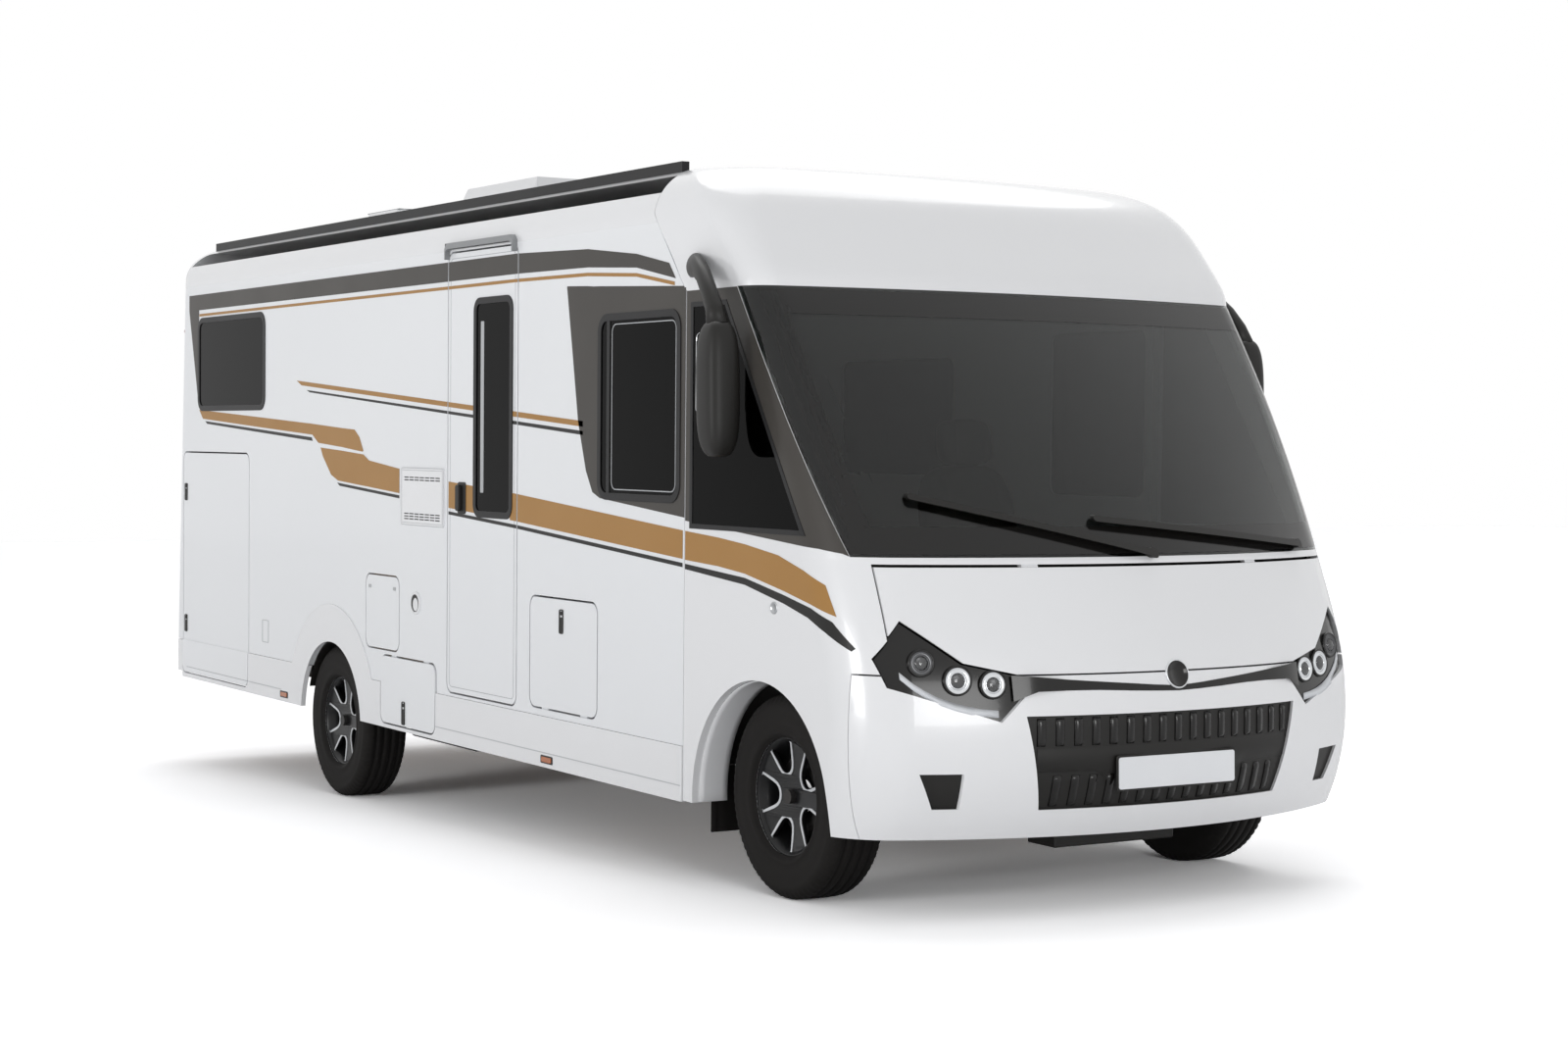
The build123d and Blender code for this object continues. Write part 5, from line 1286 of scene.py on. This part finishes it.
# ---------------------------------------------------------------- rear
class Tail:
    """Lamp clusters, blank plate, films, corner lamps and high brake lamp of the rear wall, in y and z."""

    # Body-frame x taken where nothing is met
    WALL_X = -6263.0
    LENSES = (("brake", RED_LENS, 820, 905), ("turn", AMBER, 735, 812), ("reverse", LENS, 650, 727))
    LENS_Y = (972, 1048)
    # Limits of distance from the middle, limits of z and corner radius of the lamp rim's outline and hole
    RIM = ((962, 1058, 622, 978, 12), (970, 1050, 632, 968, 10))
    CORNER_LAMP = (1098, 2242)
    # Name, finish, half width, limits of z and height over the wall; the first is a grey line of painted shade in the
    # handle's recess
    STRIPES = (("rear_handle_recess", SEAL_AND_GROOVE_SHADE_GREY, 900, 1100, 1104, 0.8),
               ("rear_band", FILM_GREY, 1060, 2340, 2420, 0.9),
               ("rear_stripe_gold", FILM_GOLD, 1060, 1180, 1240, 0.9),
               ("rear_stripe_black", FILM_BLACK, 1060, 1160, 1172, 0.9))

    def __init__(self) -> None:
        """Take the rear's skins."""
        self.skin = Skin("rear_wall", "rear_bumper", "tail_lamps")

    def at(self, y: float, z: float, out: float) -> Vector:
        """Point over the rear surface seen square from behind, standing off it by some millimetres."""
        place, _, _, _ = self.skin.tree.ray_cast(STANCE.at(BEHIND, y, z), AHEAD)
        if place is None:
            place = STANCE.at(self.WALL_X, y, z)
        return place - AHEAD * out / 1000

    def plate(self, name: str, finish: Finish, outlines: Sequence[Outline], low: float, high: float,
              edge: Optional[float] = None) -> None:
        """Make a plate that follows the rear surface, from outlines of y and z."""
        Form().slab(outlines, low, high, edge or min(1.0, (high - low) / 3), lambda v: self.at(*v)).make(
            name, finish, smooth=False)

    def build(self) -> None:
        """Make every piece of the rear."""
        for side in Side:
            for word, finish, low, high in self.LENSES:
                self.plate(f"tail_{word}_lens_{side.tag}", finish,
                           [rounded_box((*side.span(*self.LENS_Y), low, high), 0, 16)], -1, 0.6)
            self.plate(f"tail_lamp_rim_{side.tag}", GLOSS_BLACK,
                       [rounded_box((*side.span(y0, y1), z0, z1), 0, r) for y0, y1, z0, z1, r in self.RIM],
                       -1, 0.9, 0.3)
        self.plate("rear_plate_holder", ABS_BLACK, [rounded_box((-272, 272, 690, 812), 0, 10)], -1, 3)
        self.plate("rear_plate_blank", PLATE, [rounded_box((-260, 260, 697, 805), 0, 8)], 1, 5)
        corner = Form()
        for side in Side:
            corner.lathe(self.at(side.value * self.CORNER_LAMP[0], self.CORNER_LAMP[1], -2), BACK,
                         [(17, 0), (17, 22), (15, 36), (9, 41), (0, 42)], 24)
        corner.make("corner_marker_lamps", RED_LENS)
        self.plate("high_brake_lamp", RED_LENS, [rounded_box((-150, 150, 2352, 2376), 0, 10)], -1, 5)
        for name, finish, half, low, high, out in self.STRIPES:
            self.plate(name, finish, [oblong(-half, half, low, high)], -1, out)


# ---------------------------------------------------------------- roof
class Roof:
    """Louvres of the roof unit, lids of the skylights and brackets of the rails, in body-frame limits."""

    LIDS = (("rear_skylight_lid", (-5130.0, -4710.0), (-500.0, -120.0), 2850.0),
            ("front_skylight_lid", (-2640.0, -1960.0), (-240.0, 240.0), 2790.0))
    LOUVRE_X, LOUVRE_Z = tuple(-4330 + k * 36 for k in range(7)), (2943, 2946.8)
    LOUVRE_LONG, LOUVRE_Y, FOOT_LONG = 18, (-190, 190), 60
    FOOT_X, FOOT_Y, FOOT_Z = tuple(-6000 + k * 1020 for k in range(6)), (950, 990), (2668, 2700)

    def build(self) -> None:
        """Make the roof's pieces."""
        vents, feet = Form(), Form()
        for x in self.LOUVRE_X:
            vents.box((x, x + self.LOUVRE_LONG), self.LOUVRE_Y, self.LOUVRE_Z)
        vents.make("roof_unit_louvres", ABS_BLACK, smooth=False, round_mm=1.5)
        for name, along, across, z in self.LIDS:
            Form().box(along, across, (z - 4, z + 3)).make(name, SMOKED, smooth=False, round_mm=3.0)
        for side in Side:
            for x in self.FOOT_X:
                feet.box((x, x + self.FOOT_LONG), side.span(*self.FOOT_Y), self.FOOT_Z)
        feet.make("rail_feet", POWDER_BLACK, smooth=False, round_mm=2.0)


# ---------------------------------------------------------------- cab inside
class CabSeat:
    """One cab seat: padded base, back and head cushion on a pedestal, in place of the plain one."""

    X, Y = -640.0, 430.0
    # Place of the two sewn channels over half the width, their width in that measure, and their depth in metres
    SEAMS, SEAM_WIDTH, SEAM_DEPTH = (-0.55, 0.55), 0.07, 0.007
    # Name, limits of x from the seat's place, limits of z, half width, lean and how tight it is filled
    CUSHIONS = (("seat_base", (-235, 265), (812, 948), 232, 0.0, 0.7),
                ("seat_back", (-300, -150), (930, 1560), 228, -0.2, 0.7),
                ("seat_head", (-335, -225), (1556, 1752), 124, -0.1, 0.8))
    STAND_HALF, STAND_Z = (176, 146), (580, 820)

    def __init__(self, side: Side) -> None:
        """Take the side that it stands on."""
        self.tag = side.tag
        self.y = side.value * self.Y

    def cushion(self, name: str, x: Point, z: Point, half_y: float, lean: float) -> bpy.types.Object:
        """Make one crowned cushion whose front face has two sewn channels.

        Args:
            name: name of the piece.
            x: its limits along the body.
            z: its limits of height.
            half_y: half its width.
            lean: how far x moves per unit of height.

        Returns:
            The cushion.
        """
        mid = STANCE.at(sum(x) / 2, self.y, sum(z) / 2)
        half = Vector(((x[1] - x[0]) / 2000, half_y / 1000, (z[1] - z[0]) / 2000))
        form = Form().egg(mid, half, power=3.6, rows=36, turns=72, tilt=lean)
        upright = half.z > half.x
        for vert in form.verts:
            across = (vert.y - mid.y) / half.y
            for seam in self.SEAMS:
                pull = math.exp(-((across - seam) / self.SEAM_WIDTH) ** 2) * self.SEAM_DEPTH
                if upright:
                    vert.x -= math.copysign(pull, vert.x - mid.x)
                else:
                    vert.z -= math.copysign(pull, vert.z - mid.z)
        obj = form.make(name, LEATHER)
        return obj

    def build(self) -> list[bpy.types.Object]:
        """Make the seat's cushions and its pedestal, and return them."""
        made = [self.cushion(f"{name}_{self.tag}", (self.X + x[0], self.X + x[1]), z, half_y, lean)
                for name, x, z, half_y, lean, fill in self.CUSHIONS]
        along, across = self.STAND_HALF
        stand = Form().box((self.X - along, self.X + along), (self.y - across, self.y + across), self.STAND_Z)
        made.append(stand.make(f"seat_pedestal_{self.tag}", DASH, smooth=False, round_mm=18.0))
        return made


def furnish_cab() -> None:
    """Make both cab seats in place of the plain ones."""
    made = [obj for side in Side for obj in CabSeat(side).build()]
    for obj in made:
        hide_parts("cab_seats")


# ---------------------------------------------------------------- studio
class Studio:
    """Pale floor, white surround, soft lamps and the camera."""

    CAMERA_AT = Vector((10.640552, -5.88197, 1.44076))
    YAW, PITCH, ROLL, LENS = 58.42414, 0.54713, -0.30275, 59.392
    FLOOR_HALF = 90
    # How much lighter the floor's colour is to the camera, and the surround's strength as light and as background
    FLOOR_GAIN, SKY_LIGHT, SKY_SEEN = 1.5, 0.48, 1.0
    SUN_TOWARD, SUN_STRENGTH, SUN_SPREAD = Vector((0.5, -0.3, -0.81)), 1.5, 50
    LAMP_AIM, LAMP_SIZE = Vector((0.5, 0, 1.2)), 4.5
    LAMPS = (("side_lamp", (3.0, -16.0, 2.2), 520.0), ("nose_lamp", (17.0, -3.0, 2.2), 420.0))

    def build(self) -> None:
        """Set the stage, the lamps, the surround and the camera."""
        self.floor()
        self.world()
        self.lamps()
        self.camera()
        bpy.context.scene.view_settings.view_transform = "Standard"

    def floor(self) -> None:
        """Lay the floor, lighter to the camera, with the shadows kept."""
        mesh = bpy.data.meshes.new("studio_floor")
        half = self.FLOOR_HALF
        mesh.from_pydata([(x, y, 0) for x, y in oblong(-half, half, -half, half)], [], [(0, 1, 2, 3)])
        floor = add_object("studio_floor", mesh)
        mat = bpy.data.materials.new("matt_floor_paint")
        tree = fresh_tree(mat)
        place = add_node(tree, "ShaderNodeTexCoord").outputs["Object"]
        speck = add_node(tree, "ShaderNodeTexNoise", inputs={"Scale": 3.0}, links={"Vector": place})
        tint = add_node(tree, "ShaderNodeMix", {"data_type": "RGBA"}, {6: linear("#FAFAFB"), 7: linear("#F6F6F7")},
                        {0: speck.outputs["Fac"]})
        path = add_node(tree, "ShaderNodeLightPath")
        seen = add_node(tree, "ShaderNodeMapRange", inputs={"To Min": 1.0, "To Max": self.FLOOR_GAIN},
                        links={"Value": path.outputs["Is Camera Ray"]})
        lifted = add_node(tree, "ShaderNodeVectorMath", {"operation": "SCALE"},
                          links={0: tint.outputs[2], "Scale": seen.outputs[0]})
        paint = add_node(tree, "ShaderNodeBsdfDiffuse", inputs={"Roughness": 0.6}, links={"Color": lifted.outputs[0]})
        add_node(tree, "ShaderNodeOutputMaterial", links={"Surface": paint.outputs[0]})
        mesh.materials.append(mat)

    def world(self) -> None:
        """Surround the part with an even pale light that the camera, mirrors and glass see as white."""
        world = bpy.data.worlds.new("soft_surround")
        bpy.context.scene.world = world
        tree = fresh_tree(world)
        path = add_node(tree, "ShaderNodeLightPath")
        shown = path.outputs["Is Camera Ray"]
        for ray in ("Is Transmission Ray", "Is Glossy Ray"):
            shown = add_node(tree, "ShaderNodeMath", {"operation": "MAXIMUM"},
                             links={0: shown, 1: path.outputs[ray]}).outputs[0]
        level = add_node(tree, "ShaderNodeMapRange", inputs={"To Min": self.SKY_LIGHT, "To Max": self.SKY_SEEN},
                         links={"Value": shown})
        sky = add_node(tree, "ShaderNodeBackground", inputs={"Color": linear("#FFFFFF")},
                       links={"Strength": level.outputs[0]})
        add_node(tree, "ShaderNodeOutputWorld", links={"Surface": sky.outputs[0]})

    def lamps(self) -> None:
        """Hang a soft high light that comes from behind, and two large low lamps beside and before the vehicle."""
        sun = bpy.data.lights.new("high_light", "SUN")
        sun.energy = self.SUN_STRENGTH
        sun.angle = math.radians(self.SUN_SPREAD)
        self.aim(add_object("high_light", sun), self.SUN_TOWARD)
        for name, place, watts in self.LAMPS:
            data = bpy.data.lights.new(name, "AREA")
            data.size = self.LAMP_SIZE
            data.energy = watts
            lamp = add_object(name, data)
            lamp.location = place
            self.aim(lamp, self.LAMP_AIM - Vector(place))

    @staticmethod
    def aim(lamp: bpy.types.Object, toward: Vector) -> None:
        """Turn a lamp so that it shines along a direction."""
        lamp.rotation_mode = "QUATERNION"
        lamp.rotation_quaternion = toward.to_track_quat("-Z", "Y")

    def camera(self) -> None:
        """Stand the camera at the viewing place."""
        a, e, roll = (math.radians(v) for v in (self.YAW, self.PITCH, self.ROLL))
        back = Vector((math.sin(a) * math.cos(e), -math.cos(a) * math.cos(e), math.sin(e)))
        right = (-back).cross(UP).normalized()
        up = right.cross(-back)
        across = right * math.cos(roll) + up * math.sin(roll)
        above = -right * math.sin(roll) + up * math.cos(roll)
        data = bpy.data.cameras.new("view")
        data.lens, data.sensor_width = self.LENS, 36.0
        camera = add_object("view", data)
        camera.matrix_world = Matrix((*((across[n], above[n], back[n], self.CAMERA_AT[n]) for n in range(3)),
                                      (0, 0, 0, 1)))
        bpy.context.scene.camera = camera


# ---------------------------------------------------------------- making
def dress(nodes: dict[str, bpy.types.Object]) -> None:
    """Give every carried-over solid its finish.

    Args:
        nodes: the frame's solids by name.
    """
    for name, obj in nodes.items():
        finish = NODE_FINISH.get(name)
        if finish is None:
            LOG.warning("no finish for %s", name)
            continue
        for slot in obj.material_slots:
            slot.material = finish.make()
        edge = obj.modifiers.new("smooth_by_angle", "EDGE_SPLIT")
        edge.split_angle = math.radians(30)
        for face in obj.data.polygons:
            face.use_smooth = True


def main() -> None:
    """Build every sub-assembly in order."""
    logging.basicConfig(level=logging.INFO, format="%(name)s %(message)s")
    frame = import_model()
    Studio().build()
    dress(frame["nodes"])
    lay_livery(Livery(Skin("cab_shell", "windscreen", "front_cap", "bonnet", "front_bumper", "side_windows")))
    for opening in WINDOWS + (DOOR_PANE,):
        opening.build()
    for end, side in CORNERS:
        Wheel(end, side).build()
    for assembly in (Front, Mirrors, Fittings, Arches, Tail, Roof):
        assembly().build()
    furnish_cab()


if __name__ == "__main__":
    main()
